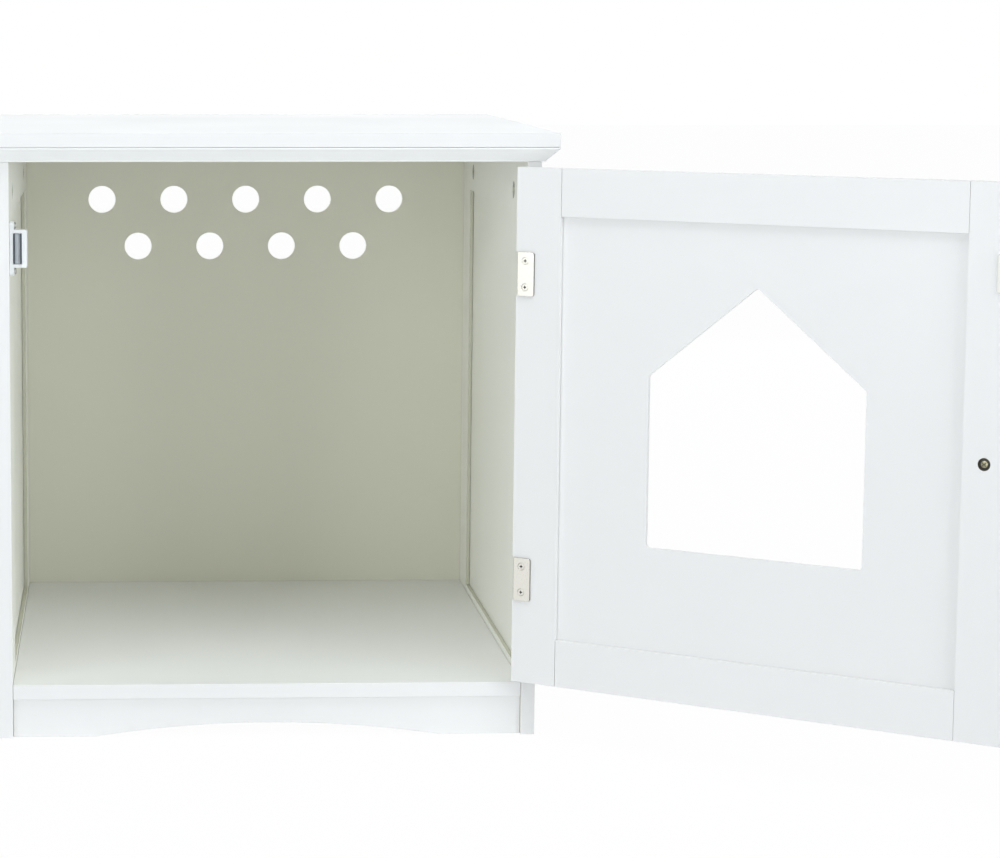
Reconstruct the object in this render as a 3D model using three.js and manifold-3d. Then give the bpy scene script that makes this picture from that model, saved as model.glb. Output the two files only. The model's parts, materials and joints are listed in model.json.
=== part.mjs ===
// A cat litter box cabinet: a white side table whose front door has a house-shaped cat opening.
// Millimetres, +Z up. The cabinet's front face is the plane y = 0, its back is towards +Y,
// x = 0 is its middle and z = 0 is the floor. The door stands open, as far as door_open_angle says.

import * as THREE from 'three';
import { mergeVertices } from 'three/addons/utils/BufferGeometryUtils.js';
import Module from 'manifold-3d';

const wasm = await Module();
wasm.setup();

// ---------------------------------------------------------------- driving dimensions

// Boards and joints
const board = 12;                   // thickness of the sides, the kickboard and the door frame
const thin_panel = 4;               // thickness of the panels held in the frames' grooves
const groove_depth = 6;             // how far a groove is cut into a stile or a rail
const glue_gap = 0.3;               // left between boards that are glued or slid together

// Carcass
const inner_width = 445;            // between the sides' inner faces
const side_height = 502;            // floor to the underside of the top
const side_depth = 492;             // front edge to back edge of a side
const side_stile_width = 66;
const side_top_rail_width = 48;
const side_bottom_rail_top = 53;    // above the floor
const side_foot_height = 12;        // the bottom rail stands this high above the floor

// Back panel
const back_thickness = 6;
const back_setback = 6;             // from the sides' back edges to the back panel's back face
const back_groove_depth = 4;        // into the sides' back stiles
const back_foot_gap = 6;            // above the floor
const vent_diameter = 27.5;
const vent_pitch = 73;
const vent_row_spacing = 47.5;
const vent_top_row_count = 5;       // the row below it has one less and sits half a pitch across
const vent_top_row_drop = 60.5;     // below the underside of the top

// Shelf and kickboard
const shelf_thickness = 13;
const shelf_top_height = 47;
const kickboard_setback = 4;
const arch_width = 300;
const arch_rise = 11.5;

// Top
const slab_thickness = 12;
const top_overhang = 14;            // past the cabinet's front and sides
const moulding_height = 13;
const moulding_foot_overhang = 3;   // the moulding's lower edge stands this far proud
const moulding_foot_lip = 1.2;      // upright edge below the bevel
const moulding_head_lip = 1.5;      // upright edge above the bevel
const back_batten_width = 20;

// Door
const door_open_angle = 144.6;      // degrees from closed, as the door stands here
const door_side_gap = 2.5;          // closed door to each side
const door_foot_gap = 4.2;          // closed door to the shelf
const door_head_gap = 3.8;          // closed door to the moulding
const door_stile_width = 42;
const door_rail_width = 41;

// Cat opening in the door panel
const opening_width = 192;
const opening_sill_height = 129.5;  // above the door's lower edge
const opening_wall_height = 146;
const opening_roof_rise = 78.5;
const opening_corner_radius = 3.5;

// Hinges
const hinge_height = 37.5;
const hinge_end_distance = 91;      // a hinge's middle to the near end of the door
const pin_radius = 1.1;
const pin_forward = 2.6;            // the pin's middle in front of the closed door's face
const knuckle_radius = 2.3;
const knuckle_clearance = 0.1;      // pin to knuckle
const knuckle_end_gap = 0.3;
const frame_leaf_thickness = 1.2;
const frame_leaf_depth = 17;        // along the side's inner face
const door_leaf_thickness = 1.6;
const door_leaf_width = 18.5;       // along the door's inner face
const hinge_screw_spacing = 22.6;
const hinge_screw_from_edge = 9.2;  // door edge, or cabinet front, to the screws
const frame_leaf_shoulder = 0.2;    // the frame leaf's middle part reaches this far past the front
const door_leaf_shoulder = 0.4;     // the door leaf starts this far behind the closed door's face
const seat_gap = 0.12;              // a fitting to the board or leaf that it lies on

// Screws
const screw_head_radius = 2.9;
const screw_head_height = 1.5;
const screw_shank_radius = 1.3;
const screw_length = 9.5;
const screw_tip_length = 2;
const screw_slot_width = 0.7;       // arms of the cross in the head
const screw_slot_length = 3;
const screw_slot_depth = 0.7;
const screw_hole_clearance = 0.15;
const pan_crown = 0.75;             // flat middle of a round head, as a share of its radius
const pan_rim = 0.4;                // upright rim of a round head, as a share of its height

// Magnetic catch
const catch_width = 15;             // out from the side's inner face
const catch_depth = 13;
const catch_body_height = 32.5;
const catch_ear_height = 46.5;
const catch_ear_thickness = 3.8;
const catch_middle_drop = 75;       // below the underside of the top
const catch_wall = 1.6;
const catch_pilot_inset = 1;        // the screws' holes in the side start this far inside the catch
const magnet_setback = 1;           // behind the front of the catch's body
const pole_plate_thickness = 1.1;
const pole_plate_proud = 0.7;       // in front of the catch's body
const pole_plate_height = 26;
const magnet_thickness = 4.4;
const magnet_from_side = 6.8;       // the side's inner face to the magnet's middle
const catch_closing_gap = 0.35;     // closed strike plate to the pole plates

// Strike plate on the door
const strike_width = 16;
const strike_height = 31;
const strike_thickness = 1.2;
const strike_from_edge = 2;

// Knob
const knob_radius = 13;
const knob_length = 23;
const knob_neck_radius = 5.5;
const knob_foot_flare = 1.5;        // the foot is this much wider than the neck
const knob_foot_height = 2;
const knob_neck_end = 0.35;         // share of the knob's length
const knob_head = [                 // shares of the knob's radius and of its length
  [0.85, 0.55],
  [1, 0.72],
  [0.9, 0.88],
  [0.55, 0.97],
];
const knob_height = 225;            // above the door's lower edge
const knob_from_edge = 24;          // the door's free edge to the knob's middle
const knob_bolt_radius = 2;
const knob_bolt_head_radius = 4.2;
const knob_bolt_head_height = 2.2;
const knob_bolt_crown = 0.8;        // flat middle of the head, as a share of its radius
const knob_bolt_dome = 0.8;         // height of the head's rounding
const knob_bolt_slot_width = 1;
const knob_bolt_slot_length = 4.8;
const knob_counterbore_radius = 5.2;
const knob_counterbore_depth = 2.4;
const knob_bolt_grip = 12;          // how far the bolt reaches into the knob
const knob_bolt_end_gap = 1;        // left in the knob's hole past the bolt's end

// Cam locks that hold the top
const cam_radius = 7.5;
const cam_thickness = 8.9;
const cam_drop = 29;                // cam's middle below the underside of the top
const cam_front_distance = 93;      // from the cabinet's front
const cam_back_distance = 92;       // from the sides' back edges
const cam_clearance = 0.25;
const cam_slot_width = 2;
const cam_slot_depth = 1.5;
const cam_slot_reach = 0.7;         // share of the cam's radius
const cam_bolt_radius = 2.8;
const cam_bolt_neck = 0.6;          // share of the bolt's radius
const cam_bolt_head_radius = 3.2;
const cam_bolt_head_flat = 0.8;     // flat ends of the head, as a share of its radius
const cam_bolt_head_half = 0.6;     // half the head's height, as a share of its radius
const cam_bolt_tip = 1;
const cam_bolt_reach = 10;          // into the moulding

// Dowels between the shelf and the sides
const dowel_radius = 4;
const dowel_in_side = 8;
const dowel_in_shelf = 20;
const dowel_front_distance = 90;
const dowel_back_distance = 100;    // from the sides' back edges

// Modelling
const past = 1;                     // how far a cutter reaches past the face that it cuts
const small_round_steps = 20;
const round_steps = 32;
const corner_steps = 4;

// ---------------------------------------------------------------- worked-out sizes

const half_inner = inner_width / 2;
const half_outer = half_inner + board;
const back_face = side_depth - back_setback;
const inner_depth = back_face - back_thickness;
const shelf_underside = shelf_top_height - shelf_thickness;
const panel_recess = (board - thin_panel) / 2;
const tongue = thin_panel - 2 * glue_gap;
const tongue_length = groove_depth - glue_gap;

const door_width = inner_width - 2 * door_side_gap;
const door_bottom = shelf_top_height + door_foot_gap;
const door_top = side_height - door_head_gap;
const door_height = door_top - door_bottom;
const pin_x = half_inner - door_side_gap;
const pin_y = -pin_forward;
const hinge_middles = [door_top - hinge_end_distance, door_bottom + hinge_end_distance];
const hinge_names = ['upper', 'lower'];
const hinge_notch = knuckle_radius + seat_gap;

// ---------------------------------------------------------------- making solids

// A box between two corners, whichever way round they are given.
function box(x0, x1, y0, y1, z0, z1) {
  const geometry = new THREE.BoxGeometry(Math.abs(x1 - x0), Math.abs(y1 - y0), Math.abs(z1 - z0));
  geometry.translate((x0 + x1) / 2, (y0 + y1) / 2, (z0 + z1) / 2);
  return geometry;
}

// A closed turned shape from (radius, height) pairs, standing on the origin along +Z.
function turned(profile, steps) {
  const points = profile.map(([radius, height]) => new THREE.Vector2(radius, height));
  return new THREE.LatheGeometry(points, steps).rotateX(Math.PI / 2);
}

function rod(radius, z0, z1, steps = small_round_steps) {
  return turned([[0, z0], [radius, z0], [radius, z1], [0, z1]], steps);
}

// Turns a shape that stands along +Z so that it points along +X, -X, +Y or -Y, then moves it.
function aim(geometry, direction, x, y, z) {
  if (direction === '+X') geometry.rotateY(Math.PI / 2);
  if (direction === '-X') geometry.rotateY(-Math.PI / 2);
  if (direction === '+Y') geometry.rotateX(-Math.PI / 2);
  if (direction === '-Y') geometry.rotateX(Math.PI / 2);
  geometry.translate(x, y, z);
  return geometry;
}

function toManifold(geometry) {
  const bare = geometry.clone();
  bare.deleteAttribute('normal');
  bare.deleteAttribute('uv');
  const merged = mergeVertices(bare, 1e-4);
  return new wasm.Manifold(new wasm.Mesh({
    numProp: 3,
    vertProperties: new Float32Array(merged.attributes.position.array),
    triVerts: new Uint32Array(merged.index.array),
  }));
}

function fromManifold(solid) {
  const mesh = solid.getMesh();
  const geometry = new THREE.BufferGeometry();
  geometry.setAttribute('position', new THREE.BufferAttribute(mesh.vertProperties, 3));
  geometry.setIndex(new THREE.BufferAttribute(mesh.triVerts, 1));
  geometry.computeVertexNormals();
  return geometry;
}

// One body, made of the joined pieces less every cutter.
function carve(pieces, cutters) {
  let solid = toManifold(pieces[0]);
  for (const piece of pieces.slice(1)) solid = solid.add(toManifold(piece));
  for (const cutter of cutters) solid = solid.subtract(toManifold(cutter));
  return fromManifold(solid);
}

// ---------------------------------------------------------------- finishes

const finishes = {
  white_paint: { color: 0xf1f3f4, roughness: 0.42, metalness: 0 },
  white_plastic: { color: 0xeff1f2, roughness: 0.35, metalness: 0 },
  nickel: { color: 0xc9c7bd, roughness: 0.3, metalness: 1 },
  zinc: { color: 0x9c9c98, roughness: 0.4, metalness: 1 },
  brass: { color: 0xa79d84, roughness: 0.4, metalness: 1 },
  ferrite: { color: 0x55585a, roughness: 0.7, metalness: 0 },
  beech: { color: 0xcfae82, roughness: 0.7, metalness: 0 },
};

const cabinet = new THREE.Group();
const door = new THREE.Group();
door.position.set(pin_x, pin_y, 0);
door.rotation.z = THREE.MathUtils.degToRad(door_open_angle);
cabinet.add(door);

function place(name, geometry, finish, group = cabinet) {
  const mesh = new THREE.Mesh(geometry, new THREE.MeshStandardMaterial(finishes[finish]));
  mesh.name = name;
  group.add(mesh);
}

// ---------------------------------------------------------------- screws

// Two cutters that leave a cross in a face at the height z0 and go in as far as z1.
function crossCutters(width, length, z0, z1) {
  return [[width, length], [length, width]].map(([wide, deep]) => box(
    -wide / 2, wide / 2, -deep / 2, deep / 2, z0 - past, z1,
  ));
}

// A countersunk screw whose head's flat face is at the origin and whose shank runs along +Z.
function countersunkScrew() {
  const r = screw_head_radius;
  return carve([turned([
    [0, 0],
    [r, 0],
    [screw_shank_radius, screw_head_height],
    [screw_shank_radius, screw_length - screw_tip_length],
    [0, screw_length],
  ], small_round_steps)], crossCutters(screw_slot_width, screw_slot_length, 0, screw_slot_depth));
}

// The countersink and hole that the screw needs, a little wider than the screw all over.
function screwHole() {
  const wide = screw_head_radius + screw_hole_clearance;
  const narrow = screw_shank_radius + screw_hole_clearance;
  const end = screw_length + screw_hole_clearance;
  return turned([
    [0, -past],
    [wide, -past],
    [wide, 0],
    [narrow, screw_head_height + screw_hole_clearance],
    [narrow, end],
    [0, end],
  ], small_round_steps);
}

// ---------------------------------------------------------------- sides

const cam_height = side_height - cam_drop;
const cam_distances = { front: cam_front_distance, back: side_depth - cam_back_distance };
const cam_middle_x = half_inner + board / 2;
const dowel_height = shelf_top_height - shelf_thickness / 2;
const dowel_distances = { front: dowel_front_distance, back: side_depth - dowel_back_distance };
const catch_height = side_height - catch_middle_drop;
const catch_front = board + strike_thickness + seat_gap + catch_closing_gap + pole_plate_proud;
const catch_screw_y = catch_front + catch_depth / 2;
const catch_screw_rise = (catch_body_height + catch_ear_height) / 4;

// The hinges' frame leaves lie on the right side, and their screws go into it.
const frame_leaf_face = pin_x + knuckle_radius - frame_leaf_thickness;

function hingeScrewHeights(middle) {
  return [middle + hinge_screw_spacing / 2, middle - hinge_screw_spacing / 2];
}

function frameScrewPlaces() {
  const places = [];
  for (const middle of hinge_middles) {
    for (const z of hingeScrewHeights(middle)) {
      places.push([frame_leaf_face, hinge_screw_from_edge, z]);
    }
  }
  return places;
}

function camHoles(way) {
  const holes = [];
  for (const y of Object.values(cam_distances)) {
    const pocket_depth = cam_thickness + 2 * cam_clearance;
    const pocket = rod(cam_radius + cam_clearance, -past, pocket_depth, round_steps);
    holes.push(aim(pocket, way > 0 ? '+X' : '-X', way * half_inner, y, cam_height));
    const bolt_hole = rod(cam_bolt_head_radius + cam_clearance, 0, cam_drop + past);
    holes.push(aim(bolt_hole, '+Z', way * cam_middle_x, y, cam_height));
  }
  return holes;
}

function dowelHoles(way) {
  return Object.values(dowel_distances).map((y) => aim(
    rod(dowel_radius + glue_gap / 2, -past, dowel_in_side + glue_gap),
    way > 0 ? '+X' : '-X', way * half_inner, y, dowel_height,
  ));
}

function catchScrewHoles() {
  return [catch_screw_rise, -catch_screw_rise].map((rise) => aim(
    rod(screw_shank_radius + screw_hole_clearance, 0, screw_length),
    '-X', -half_inner + catch_pilot_inset, catch_screw_y, catch_height + rise,
  ));
}

// Groove that takes the thin panel, along a stile or a rail.
function sideGroove(way, y0, y1, z0, z1) {
  const inner = half_inner + panel_recess - glue_gap;
  const outer = half_inner + panel_recess + thin_panel + glue_gap;
  return box(way * inner, way * outer, y0, y1, z0, z1);
}

function makeSide(label, way) {
  const inner = way * half_inner;
  const outer = way * half_outer;
  const front_edge = side_stile_width;
  const back_edge = side_depth - side_stile_width;
  const tongue_inner = way * (half_inner + (board - tongue) / 2);
  const tongue_outer = way * (half_inner + (board + tongue) / 2);
  const top_rail_bottom = side_height - side_top_rail_width;
  const rail_front = front_edge + glue_gap;
  const rail_back = back_edge - glue_gap;

  const front_cuts = [
    sideGroove(way, front_edge - groove_depth, front_edge + past, -past, side_height + past),
  ];
  if (way > 0) {
    front_cuts.push(...frameScrewPlaces().map(([x, y, z]) => aim(screwHole(), '+X', x, y, z)));
  } else {
    front_cuts.push(...catchScrewHoles());
  }
  place(`${label}_front_stile`, carve(
    [box(inner, outer, 0, front_edge, 0, side_height)], front_cuts,
  ), 'white_paint');

  const back_slot = box(
    way * (half_inner - past), way * (half_inner + back_groove_depth),
    inner_depth - glue_gap, back_face + glue_gap, -past, side_height + past,
  );
  place(`${label}_back_stile`, carve(
    [box(inner, outer, back_edge, side_depth, 0, side_height)],
    [
      sideGroove(way, back_edge - past, back_edge + groove_depth, -past, side_height + past),
      back_slot,
    ],
  ), 'white_paint');

  function rail(bottom, top, groove_bottom, groove_top, cuts) {
    return carve([
      box(inner, outer, rail_front, rail_back, bottom, top),
      box(
        tongue_inner, tongue_outer, front_edge - tongue_length, back_edge + tongue_length,
        bottom, top,
      ),
    ], [sideGroove(way, 0, side_depth, groove_bottom, groove_top), ...cuts]);
  }
  place(`${label}_top_rail`, rail(
    top_rail_bottom, side_height,
    top_rail_bottom - past, top_rail_bottom + groove_depth, camHoles(way),
  ), 'white_paint');
  place(`${label}_bottom_rail`, rail(
    side_foot_height, side_bottom_rail_top,
    side_bottom_rail_top - groove_depth, side_bottom_rail_top + past, dowelHoles(way),
  ), 'white_paint');

  place(`${label}_panel`, box(
    way * (half_inner + panel_recess), way * (half_inner + panel_recess + thin_panel),
    front_edge - tongue_length, back_edge + tongue_length,
    side_bottom_rail_top - tongue_length, top_rail_bottom + tongue_length,
  ), 'white_paint');
}

makeSide('left', -1);
makeSide('right', 1);

// ---------------------------------------------------------------- back panel, shelf, kickboard

function backPanel() {
  const half_back = half_inner + back_groove_depth - glue_gap;
  const holes = [];
  for (const row of [0, 1]) {
    const count = vent_top_row_count - row;
    const z = side_height - vent_top_row_drop - row * vent_row_spacing;
    for (let i = 0; i < count; i += 1) {
      const x = (i - (count - 1) / 2) * vent_pitch;
      const hole = rod(vent_diameter / 2, -past, back_thickness + past, round_steps);
      holes.push(aim(hole, '+Y', x, inner_depth, z));
    }
  }
  return carve([
    box(-half_back, half_back, inner_depth, back_face, back_foot_gap, side_height - glue_gap),
  ], holes);
}
place('back_panel', backPanel(), 'white_paint');

function shelf() {
  const half_shelf = half_inner - glue_gap;
  const holes = [];
  for (const way of [-1, 1]) {
    for (const y of Object.values(dowel_distances)) {
      const hole = rod(dowel_radius + glue_gap / 2, -past, dowel_in_shelf + 2 * glue_gap);
      holes.push(aim(hole, way > 0 ? '-X' : '+X', way * half_inner, y, dowel_height));
    }
  }
  return carve([
    box(-half_shelf, half_shelf, 0, inner_depth - glue_gap, shelf_underside, shelf_top_height),
  ], holes);
}
place('bottom_shelf', shelf(), 'white_paint');

function kickboard() {
  const half_board = half_inner - glue_gap;
  const radius = (arch_width * arch_width / 4 + arch_rise * arch_rise) / (2 * arch_rise);
  const half_angle = Math.asin(arch_width / 2 / radius);
  const outline = new THREE.Shape();
  outline.moveTo(-half_board, 0);
  outline.lineTo(-arch_width / 2, 0);
  const straight_up = Math.PI / 2;
  const arch_start = straight_up + half_angle;
  const arch_end = straight_up - half_angle;
  outline.absarc(0, arch_rise - radius, radius, arch_start, arch_end, true);
  outline.lineTo(half_board, 0);
  outline.lineTo(half_board, shelf_underside - glue_gap);
  outline.lineTo(-half_board, shelf_underside - glue_gap);
  const geometry = new THREE.ExtrudeGeometry(outline, {
    depth: board, bevelEnabled: false, curveSegments: round_steps,
  });
  geometry.rotateX(Math.PI / 2);
  geometry.translate(0, kickboard_setback + board, 0);
  return geometry;
}
place('kickboard', kickboard(), 'white_paint');

for (const [side, way] of [['left', -1], ['right', 1]]) {
  for (const [where, y] of Object.entries(dowel_distances)) {
    const dowel = rod(dowel_radius, -dowel_in_shelf, dowel_in_side);
    const name = `shelf_dowel_${side}_${where}`;
    place(name, aim(dowel, way > 0 ? '+X' : '-X', way * half_inner, y, dowel_height), 'beech');
  }
}

// ---------------------------------------------------------------- top

const slab_underside = side_height + moulding_height;

place('top_slab', box(
  -half_outer - top_overhang, half_outer + top_overhang, -top_overhang, side_depth,
  slab_underside, slab_underside + slab_thickness,
), 'white_paint');

// The moulding's section as (distance past the cabinet's face, height), anticlockwise.
const moulding_section = [
  [-board, side_height + glue_gap],
  [moulding_foot_overhang, side_height + glue_gap],
  [moulding_foot_overhang, side_height + moulding_foot_lip],
  [top_overhang, slab_underside - moulding_head_lip],
  [top_overhang, slab_underside - glue_gap],
  [-board, slab_underside - glue_gap],
];

// A strip along the section, whose two ends are given for each point by its distance past the face.
function mouldingStrip(start, end, toPlace) {
  const outline = new THREE.Shape(moulding_section.map(([out, z]) => new THREE.Vector2(out, z)));
  const geometry = new THREE.ExtrudeGeometry(outline, { depth: 1, bevelEnabled: false });
  const position = geometry.attributes.position;
  for (let i = 0; i < position.count; i += 1) {
    const out = position.getX(i);
    const z = position.getY(i);
    const at_end = position.getZ(i) > 0;
    const along = at_end ? end(out) : start(out);
    position.setXYZ(i, ...toPlace(out, along, z));
  }
  geometry.computeVertexNormals();
  return geometry;
}

function camBoltHoles(way) {
  return Object.values(cam_distances).map((y) => aim(
    rod(cam_bolt_radius + cam_clearance, -past, cam_bolt_reach + cam_clearance),
    '+Z', way * cam_middle_x, y, side_height,
  ));
}

// The strips run clockwise round the cabinet, seen from above.
const front_moulding = mouldingStrip(
  (out) => half_outer + out - glue_gap,
  (out) => -half_outer - out + glue_gap,
  (out, along, z) => [along, -out, z],
);
place('front_moulding', front_moulding, 'white_paint');

const left_moulding = mouldingStrip(
  (out) => -out,
  () => side_depth,
  (out, along, z) => [-half_outer - out, along, z],
);
place('left_moulding', carve([left_moulding], camBoltHoles(-1)), 'white_paint');

const right_moulding = mouldingStrip(
  () => side_depth,
  (out) => -out,
  (out, along, z) => [half_outer + out, along, z],
);
place('right_moulding', carve([right_moulding], camBoltHoles(1)), 'white_paint');

place('back_batten', box(
  -half_inner + glue_gap, half_inner - glue_gap, side_depth - back_batten_width, side_depth,
  side_height + glue_gap, slab_underside - glue_gap,
), 'white_paint');

// ---------------------------------------------------------------- cam locks

function camLock(way) {
  const outward = way > 0 ? '+X' : '-X';
  const slot_length = 2 * cam_slot_reach * cam_radius;
  const slots = crossCutters(cam_slot_width, slot_length, 0, cam_slot_depth);
  const channel = rod(cam_bolt_head_radius + cam_clearance, -cam_bolt_head_radius, cam_radius + past);
  channel.translate(way * (board / 2 - cam_clearance), 0, 0);
  const disc = aim(rod(cam_radius, 0, cam_thickness, round_steps), outward, 0, 0, 0);
  return carve([disc], [...slots.map((slot) => aim(slot, outward, 0, 0, 0)), channel]);
}

function camBolt() {
  const head = cam_bolt_head_radius;
  const flat = head * cam_bolt_head_flat;
  const half_head = head * cam_bolt_head_half;
  const neck = cam_bolt_radius * cam_bolt_neck;
  const end = cam_drop + cam_bolt_reach;
  return turned([
    [0, -half_head],
    [flat, -half_head],
    [head, 0],
    [flat, half_head],
    [neck, head],
    [neck, cam_radius],
    [cam_bolt_radius, cam_radius + cam_bolt_radius - neck],
    [cam_bolt_radius, end - cam_bolt_tip],
    [0, end],
  ], small_round_steps);
}

for (const [side, way] of [['left', -1], ['right', 1]]) {
  for (const [where, y] of Object.entries(cam_distances)) {
    const cam = camLock(way).translate(way * (half_inner + cam_clearance), y, cam_height);
    place(`cam_lock_${side}_${where}`, cam, 'zinc');
    const bolt = camBolt().translate(way * cam_middle_x, y, cam_height);
    place(`cam_bolt_${side}_${where}`, bolt, 'zinc');
  }
}

// ---------------------------------------------------------------- magnetic catch

function catchHousing() {
  const face = -half_inner + seat_gap;
  const back = catch_front + catch_depth;
  const half_body = catch_body_height / 2;
  const half_ear = catch_ear_height / 2;
  const screws = [catch_screw_rise, -catch_screw_rise].map((rise) => aim(
    rod(screw_shank_radius + 2 * screw_hole_clearance, -past, catch_ear_thickness + past),
    '+X', face, catch_screw_y, catch_height + rise,
  ));
  const body = [face + catch_width, half_body];
  const ears = [face + catch_ear_thickness, half_ear];
  const pocket = box(
    face + catch_wall, magnetX(1) + pole_plate_thickness + catch_wall,
    catch_front - past, back - catch_wall,
    catch_height - half_body + catch_wall, catch_height + half_body - catch_wall,
  );
  return carve([body, ears].map(([out, half]) => box(
    face, out, catch_front, back, catch_height - half, catch_height + half,
  )), [pocket, ...screws]);
}

// The inner (-1) or outer (1) face of the magnet.
function magnetX(way) {
  return -half_inner + magnet_from_side + way * magnet_thickness / 2;
}

const magnet_back = catch_front + catch_depth - catch_wall - glue_gap;
const half_pole = pole_plate_height / 2;

place('catch_housing', catchHousing(), 'white_plastic');
place('catch_magnet', box(
  magnetX(-1), magnetX(1), catch_front + magnet_setback, magnet_back,
  catch_height - half_pole, catch_height + half_pole,
), 'ferrite');
for (const [name, way] of [['inner', -1], ['outer', 1]]) {
  const near = magnetX(way) + way * seat_gap;
  place(`catch_pole_plate_${name}`, box(
    near, near + way * pole_plate_thickness, catch_front - pole_plate_proud, magnet_back,
    catch_height - half_pole, catch_height + half_pole,
  ), 'zinc');
}

// A round-headed screw whose head stands at the origin and whose shank runs along +Z.
function panScrew() {
  const r = screw_head_radius;
  return carve([turned([
    [0, -screw_head_height],
    [r * pan_crown, -screw_head_height],
    [r, -screw_head_height * pan_rim],
    [r, 0],
    [screw_shank_radius, 0],
    [screw_shank_radius, screw_length - screw_tip_length],
    [0, screw_length],
  ], small_round_steps)], crossCutters(
    screw_slot_width, screw_slot_length, -screw_head_height, screw_slot_depth - screw_head_height,
  ));
}

[['upper', 1], ['lower', -1]].forEach(([name, way]) => {
  const x = -half_inner + 2 * seat_gap + catch_ear_thickness;
  const z = catch_height + way * catch_screw_rise;
  place(`catch_screw_${name}`, aim(panScrew(), '-X', x, catch_screw_y, z), 'zinc');
});

// ---------------------------------------------------------------- hinges

const knuckle_length = hinge_height / 3;

// One knuckle around the pin, between two heights above the hinge's middle.
function knuckle(bottom, top) {
  return rod(knuckle_radius, bottom, top);
}

function pinHole() {
  return rod(pin_radius + knuckle_clearance, -hinge_height, hinge_height);
}

// The leaf that is screwed to the right side, around a pin at the origin.
function frameLeaf() {
  const half = hinge_height / 2;
  const outer = knuckle_radius;
  const inner = outer - frame_leaf_thickness;
  const back = pin_forward + frame_leaf_depth;
  const middle = knuckle_length / 2 + knuckle_end_gap;
  const screws = hingeScrewHeights(0).map((z) => aim(
    screwHole(), '+X', inner, pin_forward + hinge_screw_from_edge, z,
  ));
  const gap = box(
    -outer - past, outer + past, -outer - past, pin_forward - frame_leaf_shoulder, -middle, middle,
  );
  return carve([
    knuckle(-half, half),
    box(inner, outer, 0, back, -half, half),
  ], [gap, pinHole(), ...screws]);
}

// The leaf that wraps the door's edge onto its inner face, around a pin at the origin.
function doorLeaf() {
  const half = hinge_height / 2;
  const middle = knuckle_length / 2;
  const edge_outer = -knuckle_radius + door_leaf_thickness;
  const face = pin_forward + board + seat_gap;
  const bend_face = face + door_leaf_thickness;
  const screws = hingeScrewHeights(0).map((z) => aim(
    screwHole(), '-Y', -hinge_screw_from_edge, bend_face, z,
  ));
  return carve([
    knuckle(-middle, middle),
    box(-knuckle_radius, edge_outer, 0, bend_face, -middle, middle),
    box(-knuckle_radius, edge_outer, pin_forward + door_leaf_shoulder, bend_face, -half, half),
    box(-door_leaf_width, edge_outer, face, bend_face, -half, half),
  ], [pinHole(), ...screws]);
}

hinge_middles.forEach((middle, i) => {
  const name = hinge_names[i];
  place(`${name}_hinge_frame_leaf`, frameLeaf().translate(pin_x, pin_y, middle), 'nickel');
  place(`${name}_hinge_door_leaf`, doorLeaf().translate(0, 0, middle), 'nickel', door);
  const pin = rod(pin_radius, middle - hinge_height / 2, middle + hinge_height / 2);
  place(`${name}_hinge_pin`, pin.translate(pin_x, pin_y, 0), 'nickel');

  const screw_face = pin_forward + board + seat_gap + door_leaf_thickness;
  hingeScrewHeights(middle).forEach((z, k) => {
    const end = k === 0 ? 'top' : 'bottom';
    const sunk = seat_gap / 2;
    const frame_screw = aim(
      countersunkScrew(), '+X', frame_leaf_face + sunk, hinge_screw_from_edge, z,
    );
    place(`${name}_frame_screw_${end}`, frame_screw, 'nickel');
    const door_screw = aim(countersunkScrew(), '-Y', -hinge_screw_from_edge, screw_face - sunk, z);
    place(`${name}_door_screw_${end}`, door_screw, 'nickel', door);
  });
});

// ---------------------------------------------------------------- door
// In the door's own group the pin is the origin and the closed door lies towards -X,
// with its outer face at y = pin_forward.

const door_outer = pin_forward;
const door_inner = pin_forward + board;
const panel_outer = door_outer + panel_recess;
const panel_inner = panel_outer + thin_panel;

function doorGroove(x0, x1, z0, z1) {
  return box(x0, x1, panel_outer - glue_gap, panel_inner + glue_gap, z0, z1);
}

function hingeStile() {
  const cuts = [doorGroove(
    -door_stile_width - past, -door_stile_width + groove_depth, door_bottom - past, door_top + past,
  )];
  const notch_top = hinge_height / 2 + glue_gap;
  const screw_face = door_inner + seat_gap + door_leaf_thickness;
  for (const middle of hinge_middles) {
    cuts.push(box(
      -hinge_notch, past, door_outer - past, door_inner + past,
      middle - notch_top, middle + notch_top,
    ));
    for (const z of hingeScrewHeights(middle)) {
      cuts.push(aim(screwHole(), '-Y', -hinge_screw_from_edge, screw_face, z));
    }
  }
  return carve([box(-door_stile_width, 0, door_outer, door_inner, door_bottom, door_top)], cuts);
}

const knob_x = -door_width + knob_from_edge;
const knob_z = door_bottom + knob_height;
const strike_x0 = -door_width + strike_from_edge;
const strike_middle = strike_x0 + strike_width / 2;

function freeStile() {
  const groove = doorGroove(
    -door_width + door_stile_width - groove_depth, -door_width + door_stile_width + past,
    door_bottom - past, door_top + past,
  );
  const bolt_hole = rod(knob_bolt_radius + screw_hole_clearance, -past, board + past);
  const counterbore = rod(knob_counterbore_radius, -past, knob_counterbore_depth);
  const strike_hole = screwHole();
  return carve([
    box(-door_width, -door_width + door_stile_width, door_outer, door_inner, door_bottom, door_top),
  ], [
    groove,
    aim(bolt_hole, '-Y', knob_x, door_inner, knob_z),
    aim(counterbore, '-Y', knob_x, door_inner, knob_z),
    aim(strike_hole, '-Y', strike_middle, door_inner + seat_gap + strike_thickness, catch_height),
  ]);
}

function doorRail(bottom, top, groove_bottom, groove_top) {
  const x0 = -door_width + door_stile_width;
  const x1 = -door_stile_width;
  const middle = (door_outer + door_inner) / 2;
  return carve([
    box(x0 + glue_gap, x1 - glue_gap, door_outer, door_inner, bottom, top),
    box(
      x0 - tongue_length, x1 + tongue_length, middle - tongue / 2, middle + tongue / 2,
      bottom, top,
    ),
  ], [doorGroove(-door_width, 0, groove_bottom, groove_top)]);
}

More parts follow.
